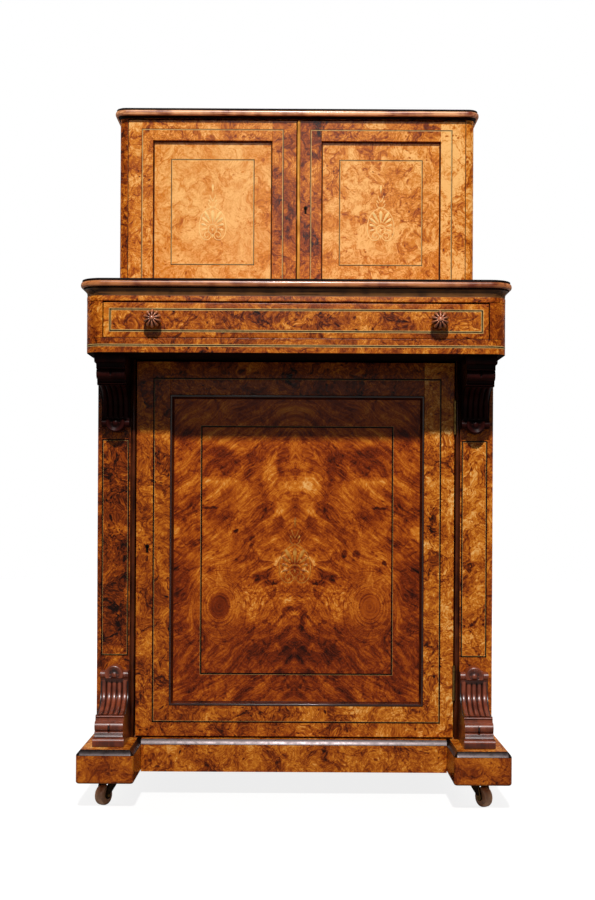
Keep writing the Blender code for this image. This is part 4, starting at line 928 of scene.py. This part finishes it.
class DressPedestal(bpy.types.Operator):
    """Veneer the pedestal's sides and pilasters, string the pilasters and finish the boards inside"""
    bl_idname = "desk.pedestal"
    bl_label = "Pedestal"

    def execute(self, context):
        tones = (("left", -1, 0.31, 0.39, 0.0064), ("right", 1, 0.62, 0.50, 0.0088))
        for side, hand, inner, outer, margin in tones:
            dress(f"pedestal_side_{side}", "burr", (1.3 * hand, 0.3), 0.55, inside="pine_z")
            node = f"pilaster_{side}"
            low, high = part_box(node)
            edge_in, edge_out = (low.x, high.x) if hand > 0 else (high.x, low.x)
            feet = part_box(f"scroll_foot_{side}")[1].z
            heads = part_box(f"console_{side}")[0].z
            line_in = edge_in + hand * 0.0097
            line_out = edge_out - hand * margin
            line_low = feet + 0.0120
            line_high = heads - 0.0086
            bm = copy_of(node)
            slip = 0.0080
            for value in (edge_in + hand * slip, line_in, line_out):
                split(bm, 0, value)
            for value in (line_low, line_high):
                split(bm, 2, value)
            lay(bm, bm.faces[:], (0.21 * hand, 1.7), outer)
            field = []
            for face in bm.faces:
                middle = face.calc_center_median()
                across = (middle.x - line_in) * (middle.x - line_out) < 0
                if across and line_low < middle.z < line_high:
                    field.append(face)
                dark = abs(middle.x - edge_in) < slip and middle.y < low.y + 0.004
                face.material_index = 1 if dark else 0
            lay(bm, field, (0.63 * hand, 2.3), inner, 1.15)
            piece(f"{node}_finished", bm, "desk", ["burr", "dark"], (node,))
            left, right = sorted((line_in, line_out))
            stringing(f"pilaster_stringing_{side}", "desk", ((left, line_low), (right, line_high)), low.y,
                      edged(0.0021, 0.0003))
        dress("pedestal_back", "pine_z")
        # the floor has a lip down behind the plinth's rail, which closes the slit under the door
        low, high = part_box("pedestal_floor")
        rail_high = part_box("plinth_front_rail")[1]
        bm = copy_of("pedestal_floor")
        ease(bm, size("arris"))
        board(bm, (low.x + 0.002, rail_high.y + 0.0001, rail_high.z - 0.008),
              (high.x - 0.002, low.y + 0.012, low.z + 0.0005))
        piece("pedestal_floor_finished", bm, "desk", ["pine_x"], ("pedestal_floor",))
        dress("cupboard_shelf", "pine_x")
        return {"FINISHED"}


# a bracket's reeded hollow in mm: reach and height of its middle, and its half axes
HOLLOW_REACH = 70.6
HOLLOW_HEIGHT = 76.0
HOLLOW_DEEP = 54.0
HOLLOW_TALL = 29.4


class DressBrackets(bpy.types.Operator):
    """Carve the consoles and the scroll feet: reeds, rolls, beads and a round boss on each crest"""
    bl_idname = "desk.brackets"
    bl_label = "Brackets"

    def outline(self):
        """Side view of a bracket in mm: reach, height, and share of the reeded hollow or -1 in a quirk."""
        low = [(0.0, 0.0), (91.4, 0.0), (92.0, 0.6), (92.0, 7.6)]
        low += arc((87.6, 8.4), 4.4, 0, 78, 6)
        low += arc((89.6, 18.4), 5.6, 262, 180, 6)
        low += arc((82.6, 20.2), 1.6, -50, 75, 5)
        low += arc((75.4, 29.2), 8.0, -62, 105, 14)
        low += [(72.6, 37.4), (72.4, 41.0)]
        bead = arc((71.0, 43.4), 1.6, -70, 75, 5)
        quarter = arc((0, 0), 1.0, 270, 180, 28)
        hollow = [(HOLLOW_REACH + HOLLOW_DEEP * a, HOLLOW_HEIGHT + HOLLOW_TALL * b, s / 36)
                  for s, (a, b) in enumerate(quarter)]
        hollow += [(16.6 - 0.15 * s, HOLLOW_HEIGHT + 2.1 * s, (28 + s) / 36) for s in range(1, 9)]
        high = [(15.4, 94.6), (16.8, 95.0)] + arc((14.0, 101.6), 6.2, -60, 90, 10) + [(0.0, 107.8)]
        points = [(r, h, 0.0) for r, h in low] + [(70.4, 41.5, -1.0)] + [(r, h, 0.0) for r, h in bead]
        return points + [(69.2, 45.6, -1.0)] + hollow + [(r, h, 0.0) for r, h in high]

    def carve(self, node, up, kind):
        """Carve one bracket, which grows up from its base, or down where up is -1."""
        low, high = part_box(node)
        wall = high.y
        base = low.z if up > 0 else high.z
        width = high.x - low.x
        bm = bmesh.new()
        share = bm.verts.layers.float.new("share")
        # painted shade per vertex: grooves, quirks, the nick and the boss's dish, and a lighter darkening on
        # the base's front and cove
        painted_shade = bm.verts.layers.float.new("hollow")
        verts = []
        for reach, height, along in self.outline():
            vert = bm.verts.new((low.x, wall - reach / 1000, base + up * height / 1000))
            vert[share] = along
            verts.append(vert)
        drawn_out(bm, [bm.faces.new(verts)], (width, 0, 0))
        long = [edge for edge in bm.edges if abs(edge.verts[0].co.x - edge.verts[1].co.x) > width / 2]
        bmesh.ops.subdivide_edges(bm, edges=long, cuts=69, use_grid_fill=True)
        middle = (low.x + high.x) / 2
        reeds = size("reeds")
        depth = size("reed_depth")
        for vert in bm.verts:
            height = abs(vert.co.z - base) * 1000
            reach = (wall - vert.co.y) * 1000
            t = (vert.co.x - low.x) / width
            along = vert[share]
            if along > 0:
                beat = (t - 0.03) / 0.94 * reeds
                groove = abs(2 * (beat % 1.0) - 1) ** 3.4 if 0 < beat < reeds else 1.0
                groove *= ease_in(along, 0.0, 0.04) * (1 - ease_in(along, 0.95, 1.0))
                away = Vector((0, (HOLLOW_REACH - reach) / HOLLOW_DEEP ** 2,
                               up * min(height - HOLLOW_HEIGHT, 0.0) / HOLLOW_TALL ** 2))
                vert.co += away.normalized() * depth * groove
                # painted shade down each groove between the reeds
                vert[painted_shade] = groove
            elif 21.0 < height < 32.0 and reach > 76.0:
                nick = 1 - ease_in(abs(vert.co.x - middle), 0.0006, 0.0022)
                vert.co.y += 0.0010 * nick
                vert[painted_shade] = nick
            elif along < 0:
                vert[painted_shade] = 1.0
            # the base's front is darker, and the cove above it takes painted shade
            elif height < 8.0 or 13.0 < height < 20.0:
                vert[painted_shade] = 0.45
            broad = 1.075 - 0.095 * ease_in(height, 12.4, 15.0)
            vert.co.x = middle + (vert.co.x - middle) * broad
        boss = [(0.0, 21.4), (3.0, 21.2), (4.2, 20.2), (7.0, 20.0), (9.6, 21.0), (11.6, 22.4), (13.0, 22.6),
                (14.2, 21.8), (14.8, 20.2), (14.9, 17.0), (14.9, 0.6), (0.0, 0.6)]
        rise = base + up * 0.1018
        made = turned(bm, [(r / 1000, a / 1000) for r, a in boss], (middle, wall, rise), (0, -1, 0), 48)
        for vert in made:
            off = math.hypot(vert.co.x - middle, vert.co.z - rise) * 1000
            # painted shade in the ring of the boss's dish
            vert[painted_shade] = 0.7 if 3.4 < off < 9.0 else 0.0
            vert.co.z = rise + up * max(up * (vert.co.z - rise), -0.005)
        bmesh.ops.recalc_face_normals(bm, faces=bm.faces)
        piece(f"{node}_carved", bm, "desk", [kind], (node,), smooth=42)

    def execute(self, context):
        for side in ("left", "right"):
            self.carve(f"scroll_foot_{side}", 1, "scroll")
            # the consoles take the carving darkened as painted shade for their place under the drawer case
            self.carve(f"console_{side}", -1, "smoked")
        return {"FINISHED"}


def door_boards(node, panel, lap, front, leaves, body, pivot=None, trim=(0, 0, 0, 0), second=None):
    """Veneered stiles and rails of a door, each with its own leaf; gives the opening's corners.

    A door on pivots has its outer edge rounded about them, so that it closes against its post. The trim
    shifts the opening's left, lower, right and upper edges. A second leaf goes on the bottom rail's right
    half.
    """
    low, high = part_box(node)
    inner_low, inner_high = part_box(panel)
    x = (inner_low.x + lap + trim[0], inner_high.x - lap + trim[2])
    z = (inner_low.z + lap + trim[1], inner_high.z - lap + trim[3])
    back = high.y - 0.0003
    left, right, bottom, top = leaves
    bm = blank()
    lay(bm, board(bm, (low.x, front, low.z), (x[0], back, high.z)), *left)
    lay(bm, board(bm, (x[1], front, low.z), (high.x, back, high.z)), *right)
    lay(bm, board(bm, (x[0], front, low.z), (x[1], back, z[0])), *bottom)
    lay(bm, board(bm, (x[0], front, z[1]), (x[1], back, high.z)), *top)
    ease(bm, 0.0004)
    if second:
        half = (x[0] + x[1]) / 2
        split(bm, 0, half)
        places = [(face, face.calc_center_median()) for face in bm.faces]
        lay(bm, [face for face, at in places if half < at.x < x[1] and at.z < z[0]], *second)
    if pivot:
        pin_x, pin_y, radius = pivot
        hand = 1 if pin_x > 0 else -1
        deep = pin_y - front - 0.0004
        edge = arc((0, 0), radius, -math.degrees(math.asin(deep / radius)), 60, 12)
        edge += [(0.002, 0.009), (0.002, -deep)]
        slip = prism(bm, [(pin_x + hand * a, pin_y + b, low.z) for a, b in edge], (0, 0, high.z - low.z))
        lay(bm, slip, *(right if hand > 0 else left))
    piece(f"{node}_veneered", bm, body, ["burr"], (node,))
    return (x[0], z[0]), (x[1], z[1])


def veneered_panel(node, corners, field, border, kind, body):
    """A door panel whose border goes round its field, which lies between two corners."""
    low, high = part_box(node)
    bm = blank()
    faces = board(bm, low, high)
    lay(bm, faces, *border)
    face = next(f for f in faces if f.normal.y < -0.9)
    ring = bmesh.ops.inset_region(bm, faces=[face], thickness=0.01, use_even_offset=True)["faces"]
    middle = face.calc_center_median()
    for vert in face.verts:
        vert.co.x = corners[0 if vert.co.x < middle.x else 1][0]
        vert.co.z = corners[0 if vert.co.z < middle.z else 1][1]
    lay(bm, ring, *border)
    lay(bm, [face], *field)
    for part in ring + [face]:
        part.material_index = 1
    piece(f"{node}_veneered", bm, body, ["burr", kind], (node,))


def grown(corners, margin):
    """A rectangle's corners moved out by a margin, or in where it is negative."""
    (left, bottom), (right, top) = corners
    return (left - margin, bottom - margin), (right + margin, top + margin)


# width, rise and finish of each strip in the beads and mouldings round the panels, from the outside in
UPPER_BEAD = ((0.0002, 0.0020, 0), (0.0008, 0.0006, 0), (0.0009, -0.0004, 0), (0.0006, -0.0024, 0))
LOWER_MOULDING = (
    (0.0003, 0.0006, 0), (0.0006, 0.0006, 0), (0.0007, 0.0, 0), (0.0012, -0.0007, 0), (0.0006, -0.0010, 0),
    (0.0002, -0.0024, 1), (0.0005, -0.0026, 1), (0.0007, -0.0020, 1), (0.0009, -0.0010, 1),
    (0.0006, -0.0003, 1))


def panel_moulding(name, opening, y, steps, thickness, kinds, body):
    """A moulding mitred round a panel, inside its frame."""
    bm = mitred(opening, y, steps)
    bmesh.ops.solidify(bm, geom=bm.faces[:], thickness=thickness)
    bmesh.ops.recalc_face_normals(bm, faces=bm.faces)
    piece(name, bm, body, kinds)


class DressCupboardDoor(bpy.types.Operator):
    """Veneer, mould, string and inlay the cupboard door, and finish its lock and hinges"""
    bl_idname = "desk.cupboard_door"
    bl_label = "Cupboard door"

    def execute(self, context):
        body = "cupboard_door"
        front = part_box("cupboard_door_frame")[0].y
        # the top rail's leaf is laid darker, painted shade for the drawer case's overhang above it
        leaves = (((0.3, 0.1), 0.47), ((2.1, 0.6), 0.58, 1.2), ((1.2, 3.4), 0.47), ((0.8, 2.2), 0.38))
        opening = door_boards("cupboard_door_frame", "cupboard_door_panel", 0.008, front, leaves, body,
                              trim=(0.0030, -0.0045, 0.0024, 0.0005), second=((1.5, 4.6), 0.61))
        field = grown(opening, -size("lower_field"))
        leaf = ((0.0, 0.0), 0.5)
        veneered_panel("cupboard_door_panel", field, leaf, leaf, "matched", body)
        # a bead and a hollow go from the frame's face down to the panel
        panel_moulding("cupboard_door_moulding", opening, front, LOWER_MOULDING, 0.0015,
                       ["varnished", "hollow"], body)
        stringing("cupboard_frame_stringing", body, grown(opening, size("lower_line")), front,
                  edged(0.0023, 0.00030))
        face_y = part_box("cupboard_door_panel")[0].y
        stringing("cupboard_panel_stringing", body, field, face_y, [(0.0003, 0), (0.0024, 1)])
        middle = ((0.0, opening[0][1]), (0.0, opening[1][1]))
        palmette("cupboard_palmette", body, middle, face_y, size("lower_motif"), "faded")
        keyhole("cupboard_keyhole", body, "cupboard_lock", front)
        dress("cupboard_lock", "iron", arris=0)
        for end in ("top", "bottom"):
            for part in ("case", "door"):
                dress(f"cupboard_hinge_{end}_{part}_leaf", "brass", arris=0)
        return {"FINISHED"}


class DressDrawerCase(bpy.types.Operator):
    """Veneer the drawer case and its frieze, string its lower rail and mould the desk top"""
    bl_idname = "desk.drawer_case"
    bl_label = "Drawer case and desk top"

    def execute(self, context):
        for side, hand, tone in (("left", -1, 0.59), ("right", 1, 0.39)):
            dress(f"drawer_case_side_{side}", "burr", (0.9 * hand, 4.1), tone, arris=0.0003)
        bm = copy_of("drawer_case_floor")
        lay(bm, bm.faces[:], (1.9, 5.2), 0.49)
        # the underside is finished nearly black: painted shade under the drawer case
        for face in bm.faces:
            face.material_index = 1 if face.normal.z < -0.9 else 0
        ease(bm, 0.0006)
        piece("drawer_case_floor_finished", bm, "desk", ["burr", "bare"], ("drawer_case_floor",))
        dress("drawer_case_back", "pine_x")
        # lines of stringing that follow the lower rail round its corners
        low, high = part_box("drawer_case_floor")
        level = (low.z + high.z) / 2 - 0.0002
        width = size("line")
        bm = copy_of("drawer_case_floor")
        cuts = [level + share * width for share in (-1.85, -0.85, 0.85, 1.85)]
        for cut in cuts:
            split(bm, 2, cut)
        spare = []
        for face in bm.faces:
            middle = face.calc_center_median()
            inside = abs(face.normal.z) > 0.5 or face.normal.y > 0.5
            if inside or not cuts[0] < middle.z < cuts[3]:
                spare.append(face)
            else:
                face.material_index = 1 if cuts[1] < middle.z < cuts[2] else 0
        bmesh.ops.delete(bm, geom=spare, context="FACES")
        for vert in bm.verts:
            vert.co -= vert.normal * LET_IN
        for vert in drawn_out(bm, bm.faces[:], (0, 0, 0)):
            vert.co += vert.normal * (size("inlay") + LET_IN)
        bmesh.ops.recalc_face_normals(bm, faces=bm.faces)
        piece("lower_rail_stringing", bm, "desk", ["boxwood", "ebony"])
        # the frieze: a veneered rail, a cove darkened as painted shade, and a fillet painted black as shade
        # under the desk top
        low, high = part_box("frieze_board")
        profile = [(0.0060, low.z, 0), (0.0050, low.z + 0.0008, 0), (0.0050, low.z + 0.0072, 0)]
        profile += [(0.0004 + 0.0052 * a, low.z + (0.0080 + 0.0110 * b), 1)
                    for a, b in arc((0, 0), 1.0, 0, 84, 8)]
        profile += [(0.0004, low.z + 0.0190, 2), (0.0, low.z + 0.0194, 2), (0.0, high.z, 2)]
        bm = blank()
        moulded(bm, 0.0, high.x, low.y, high.y, 0.031, profile)
        lay(bm, bm.faces[:], (2.7, 6.0), 0.56)
        piece("frieze_board_finished", bm, "desk", ["burr", "cove", "black"], ("frieze_board",))
        moulded_top("desk_top", (1.1, 7.7), 0.0355, (), 0.0, "nosing")
        return {"FINISHED"}


# inset and rise of the cove under the cornice's bead, finished black as painted shade
CORNICE_COVE = ((0.0130, 0.0), (0.0127, 0.0010), (0.0118, 0.0020), (0.0098, 0.0027), (0.0064, 0.0030))


def moulded_top(node, shift, corner, foot, reach, bead):
    """A top with veneer on its flat, a black upper edge and a polished bead under it that reaches out."""
    low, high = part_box(node)
    base = low.z + foot[-1][1] if foot else low.z
    edge = high.z - 0.0037
    half = (edge - base) / 2
    # a foot, the cornice's cove, is finished black as painted shade under the bead
    profile = [(inset, low.z + rise, 2) for inset, rise in foot]
    for turn in range(-90, 76, 11):
        out = math.cos(math.radians(turn)) ** 0.50
        rise = math.copysign(abs(math.sin(math.radians(turn))) ** 0.85, turn)
        profile.append((half * (1 - out), base + half * (1 + rise), 1))
    profile[-1] = profile[-1][:2] + (2,)
    profile += [(0.0023, edge + 0.0002, 2), (0.0021, high.z - 0.0012, 2), (0.0025, high.z - 0.0004, 2),
                (0.0034, high.z, 2)]
    bm = blank()
    moulded(bm, 0.0, high.x, low.y - reach, high.y, corner, profile)
    lay(bm, bm.faces[:], shift, 0.58)
    piece(f"{node}_moulded", bm, "desk", ["burr", bead, "black"], (node,))


class DressDrawer(bpy.types.Operator):
    """Veneer and string the drawer front, finish its lining and carve its lobed knobs"""
    bl_idname = "desk.drawer"
    bl_label = "Drawer"

    def knob(self, node, front):
        """A melon-shaped knob of lobes round a button, on a neck."""
        low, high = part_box(node)
        middle = Vector(((low.x + high.x) / 2, front, (low.z + high.z) / 2))
        profile = [(0.0, -1.0), (6.6, -1.0), (6.6, 2.6), (7.4, 3.8), (9.2, 5.2), (12.0, 8.2), (13.7, 11.6),
                   (14.0, 14.6), (13.4, 17.6), (11.8, 20.4), (9.2, 22.6), (6.4, 23.7), (4.2, 23.6),
                   (3.4, 22.8), (3.4, 24.0), (2.9, 25.2), (1.7, 25.9), (0.0, 26.0)]
        bm = bmesh.new()
        painted_shade = bm.verts.layers.float.new("hollow")
        made = turned(bm, [(r / 1000, a / 1000) for r, a in profile], middle, (0, -1, 0), size("lobes") * 12)
        for vert in made:
            off = vert.co - middle
            radius = math.hypot(off.x, off.z) * 1000
            reach = -off.y * 1000
            if radius < 3.9 or reach < 3.0:
                continue
            beat = math.atan2(off.z, off.x) / math.tau * size("lobes")
            groove = 1 - math.sqrt(1 - (2 * (beat % 1.0) - 1) ** 2)
            weight = ease_in(reach, 4.0, 9.0) * ease_in(radius, 3.4, 7.0)
            vert.co.x -= off.x * 0.34 * groove * weight
            vert.co.z -= off.z * 0.34 * groove * weight
            vert.co.y += 0.0046 * groove * weight * ease_in(reach, 12.0, 20.0)
            # painted shade down the grooves between the lobes
            vert[painted_shade] = min(1.0, 2.2 * groove * weight)
        piece(f"{node}_carved", bm, "drawer", ["knob"], (node,), smooth=60)

    def execute(self, context):
        node = "drawer_front"
        low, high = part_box(node)
        inset = size("drawer_line")
        front = low.y + size("drawer_set")
        x = (low.x + 0.0004, high.x - 0.0004)
        z = (low.z + 0.0004, high.z - 0.0012)
        bm = blank()
        board(bm, (x[0], front, z[0]), (x[1], high.y, z[1]))
        field_x = (x[0] + inset, x[1] - inset)
        field_z = (z[0] + inset, z[1] - inset)
        for axis, ends in ((0, field_x), (2, field_z)):
            split(bm, axis, ends[0])
            split(bm, axis, ends[1])
        lay(bm, bm.faces[:], (0.4, 8.4), 0.53, 0.9)
        field = []
        for face in bm.faces:
            middle = face.calc_center_median()
            if field_x[0] < middle.x < field_x[1] and field_z[0] < middle.z < field_z[1]:
                field.append(face)
        lay(bm, field, (1.6, 9.3), 0.53, 1.1)
        ease(bm, 0.0009)
        piece(f"{node}_veneered", bm, "drawer", ["burr"], (node,))
        # two fine light lines with a dark one between them
        fine = size("line")
        stringing("drawer_stringing", "drawer", tuple(zip(field_x, field_z)), front,
                  [(fine, 0), (1.7 * fine, 1), (fine, 0)])
        for side in ("left", "right"):
            dress(f"drawer_side_{side}", "mahogany_y")
            self.knob(f"knob_{side}", front)
        dress("drawer_back", "mahogany_x")
        dress("drawer_bottom", "mahogany_x", arris=0.0003)
        return {"FINISHED"}


class DressUpperCase(bpy.types.Operator):
    """Veneer the upper cabinet, mould its cornice and finish its back, shelf and pivots"""
    bl_idname = "desk.upper_case"
    bl_label = "Upper cabinet"

    def execute(self, context):
        dress("upper_side_left", "burr", (5.1, 0.8), 0.50, 1.1, 0.0003, "pine_z")
        dress("upper_side_right", "burr", (6.2, 1.5), 0.70, 1.1, 0.0003, "pine_z")
        dress("upper_back", "pine_z")
        dress("upper_shelf", "pine_x")
        moulded_top("cornice_top", (3.3, 6.1), 0.0205, CORNICE_COVE, 0.0050, "cornice")
        for side in ("left", "right"):
            for end in ("top", "bottom"):
                # the pivots take the blackened brass: partly its age, partly painted shade in the gap under
                # the cornice
                dress(f"{side}_door_pivot_{end}", "dark_brass", arris=0)
        return {"FINISHED"}


class DressUpperDoors(bpy.types.Operator):
    """Veneer, string and inlay the two upper doors, and add the meeting bead and the lock"""
    bl_idname = "desk.upper_doors"
    bl_label = "Upper doors"

    def execute(self, context):
        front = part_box("left_door_frame")[0].y
        leaves = {
            "left": (((7.1, 0.3), 0.66), ((7.9, 1.1), 0.53), ((8.3, 2.0), 0.68), ((8.8, 2.9), 0.66)),
            "right": (((9.2, 0.4), 0.47), ((9.9, 1.3), 0.84), ((10.4, 2.2), 0.72), ((10.9, 3.1), 0.64)),
        }
        fields = {"left": ((11.3, 0.5), 0.84, 0.55), "right": ((12.1, 1.6), 0.78, 0.85)}
        for side in ("left", "right"):
            body = f"{side}_door"
            frame_node = f"{side}_door_frame"
            panel_node = f"{side}_door_panel"
            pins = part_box(f"{side}_door_pivot_top")
            hand = 1 if side == "right" else -1
            outer = pins[1].x if hand > 0 else -pins[0].x
            pivot = (hand * (outer - 0.009), (pins[0].y + pins[1].y) / 2, 0.0105)
            opening = door_boards(frame_node, panel_node, 0.007, front, leaves[side], body, pivot)
            shift, tone, strength = fields[side]
            border = (shift, tone - 0.03, strength)
            field = grown(opening, -size("upper_field"))
            veneered_panel(panel_node, field, fields[side], border, "burr", body)
            face_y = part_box(panel_node)[0].y
            panel_moulding(f"{side}_door_bead", opening, face_y, UPPER_BEAD, 0.0004, ["dark"], body)
            stringing(f"{side}_door_frame_stringing", body, grown(opening, size("upper_line")), front,
                      edged(0.0010, 0.0013))
            stringing(f"{side}_door_panel_stringing", body, field, face_y, edged(0.0011, 0.0010))
            palmette(f"{side}_door_palmette", body, opening, face_y, size("upper_motif"), "marquetry")
        # half-round bead on the right door's meeting edge
        low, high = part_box("right_door_frame")
        radius = (front - low.y) + 0.0004
        bm = bmesh.new()
        section = arc((low.x + 0.0022, front), radius, 0, -180, 12)
        prism(bm, [(x, y, low.z) for x, y in section], (0, 0, high.z - low.z))
        piece("meeting_bead", bm, "right_door", ["bead"])
        keyhole("upper_keyhole", "right_door", "upper_lock", front)
        dress("upper_lock", "iron", arris=0)
        return {"FINISHED"}


class SetStage(bpy.types.Operator):
    """Lay the pale floor, hang the lamps and set the camera where the photograph was taken"""
    bl_idname = "desk.stage"
    bl_label = "Studio"

    def lamp(self, name, place, aim, power, width):
        """A soft square lamp at one place, aimed at another."""
        light = bpy.data.lights.new(name, "AREA")
        light.energy = power
        light.size = width
        thing = placed(name, light)
        thing.location = place
        thing.rotation_euler = (Vector(aim) - Vector(place)).to_track_quat("-Z", "Y").to_euler()
        return thing

    def seen(self, tree, path):
        """One where the camera looks, also through glass, and nought for other rays."""
        return add(tree, "Math", {"operation": "ADD", "use_clamp": True, 0: path.outputs["Is Camera Ray"],
                                  1: path.outputs["Is Transmission Ray"]})

    def floor(self):
        """A matt pale floor that looks white to the camera outside the desk's soft shadow."""
        material = bpy.data.materials.new("painted studio floor, matt")
        tree = cleared(material)
        place = add(tree, "TexCoord", {})
        grit = add(tree, "TexNoise", {"Scale": 1 / 0.4, "Detail": 3.0, "Vector": place.outputs["Object"]})
        shade = add(tree, "ValToRGB", {
            "stops": [(0.3, deeper("floor", 0.9)), (0.7, colour("floor"))], "Fac": grit})
        matt = add(tree, "BsdfDiffuse", {"Color": shade.outputs["Color"]})
        path = add(tree, "LightPath", {})
        seen = self.seen(tree, path)
        away = add(tree, "VectorMath", {"operation": "LENGTH", 0: place.outputs["Object"]})
        lift = add(tree, "MapRange", {
            "From Min": 0.6, "From Max": 2.4, "To Min": 0.84, "To Max": 1.0,
            "Value": away.outputs["Value"]})
        glow = add(tree, "Math", {"operation": "MULTIPLY", 0: seen, 1: lift})
        white = add(tree, "Emission", {"Strength": glow})
        both = add(tree, "AddShader", {0: matt, 1: white})
        add(tree, "OutputMaterial", {"Surface": both})
        bm = bmesh.new()
        bmesh.ops.create_grid(bm, x_segments=8, y_segments=8, size=6.0)
        mesh = bpy.data.meshes.new("studio_floor")
        bm.to_mesh(mesh)
        bm.free()
        mesh.materials.append(material)
        floor = placed("studio_floor", mesh)

    def world(self):
        """A dim warm room for the light, and a white backdrop for the camera and faintly for reflections."""
        world = bpy.data.worlds.new("studio")
        bpy.context.scene.world = world
        tree = cleared(world)
        path = add(tree, "LightPath", {})
        seen = self.seen(tree, path)
        white = add(tree, "Math", {
            "operation": "MULTIPLY_ADD", "use_clamp": True, 0: path.outputs["Is Glossy Ray"], 1: 0.10,
            2: seen})
        room = add(tree, "Background", {"Color": linear("#fff1e2"), "Strength": 0.031})
        drop = add(tree, "Background", {"Color": (1.0, 1.0, 1.0, 1.0), "Strength": 1.0})
        mix = add(tree, "MixShader", {0: white, 1: room, 2: drop})
        add(tree, "OutputWorld", {"Surface": mix})

    def execute(self, context):
        scene = bpy.context.scene
        scene.view_settings.view_transform = "Standard"
        self.floor()
        self.world()
        self.lamp("key lamp", (0.0, -4.40, 5.00), (0.0, 0.0, 0.62), 430.0, 0.28)
        for name, place in (("left lamp", (-3.0, 1.3, 1.7)), ("right lamp", (3.0, 1.3, 1.7)),
                            ("back lamp", (0.0, 3.4, 1.9))):
            fill = self.lamp(name, place, (0.0, 0.1, 0.6), 60.0, 1.5)
            fill.visible_glossy = False
        # a large pale screen in front, which shows only as a soft sheen on the polish
        screen = self.lamp("front screen", (0.0, -4.4, 1.98), (0.0, 0.0, 0.9), 10.0, 1.0)
        screen.visible_diffuse = False
        camera = bpy.data.cameras.new("camera")
        camera.lens = 58.36
        camera.sensor_width = 36.0
        camera.shift_x = 0.00256
        camera.shift_y = 0.0556
        eye = placed("camera", camera)
        turn = Matrix.Rotation(math.radians(90), 4, "X") @ Matrix.Rotation(math.radians(0.3), 4, "Z")
        eye.location = (0.0, -2.456, 0.470)
        eye.rotation_euler = turn.to_euler()
        scene.camera = eye
        return {"FINISHED"}


OPERATORS = (DressPlinth, DressCastors, DressPedestal, DressBrackets, DressCupboardDoor, DressDrawerCase,
             DressDrawer, DressUpperCase, DressUpperDoors, SetStage)


class DeskPanel(bpy.types.Panel):
    """The desk's pieces in the 3D view's sidebar"""
    bl_idname = "VIEW3D_PT_desk"
    bl_label = "Ladies desk"
    bl_space_type = "VIEW_3D"
    bl_region_type = "UI"
    bl_category = "Desk"

    def draw(self, context):
        for operator in OPERATORS:
            self.layout.operator(operator.bl_idname)


CLASSES = (DeskSizes, DeskColours) + OPERATORS + (DeskPanel,)


def register():
    for part in CLASSES:
        bpy.utils.register_class(part)
    bpy.types.Scene.desk_sizes = bpy.props.PointerProperty(type=DeskSizes)
    bpy.types.Scene.desk_colours = bpy.props.PointerProperty(type=DeskColours)


def unregister():
    del bpy.types.Scene.desk_sizes
    del bpy.types.Scene.desk_colours
    for part in reversed(CLASSES):
        bpy.utils.unregister_class(part)


def main():
    register()
    bpy.ops.desk.stage()
    bpy.ops.desk.plinth()
    bpy.ops.desk.castors()
    bpy.ops.desk.pedestal()
    bpy.ops.desk.brackets()
    bpy.ops.desk.cupboard_door()
    bpy.ops.desk.drawer_case()
    bpy.ops.desk.drawer()
    bpy.ops.desk.upper_case()
    bpy.ops.desk.upper_doors()


if __name__ == "__main__":
    main()
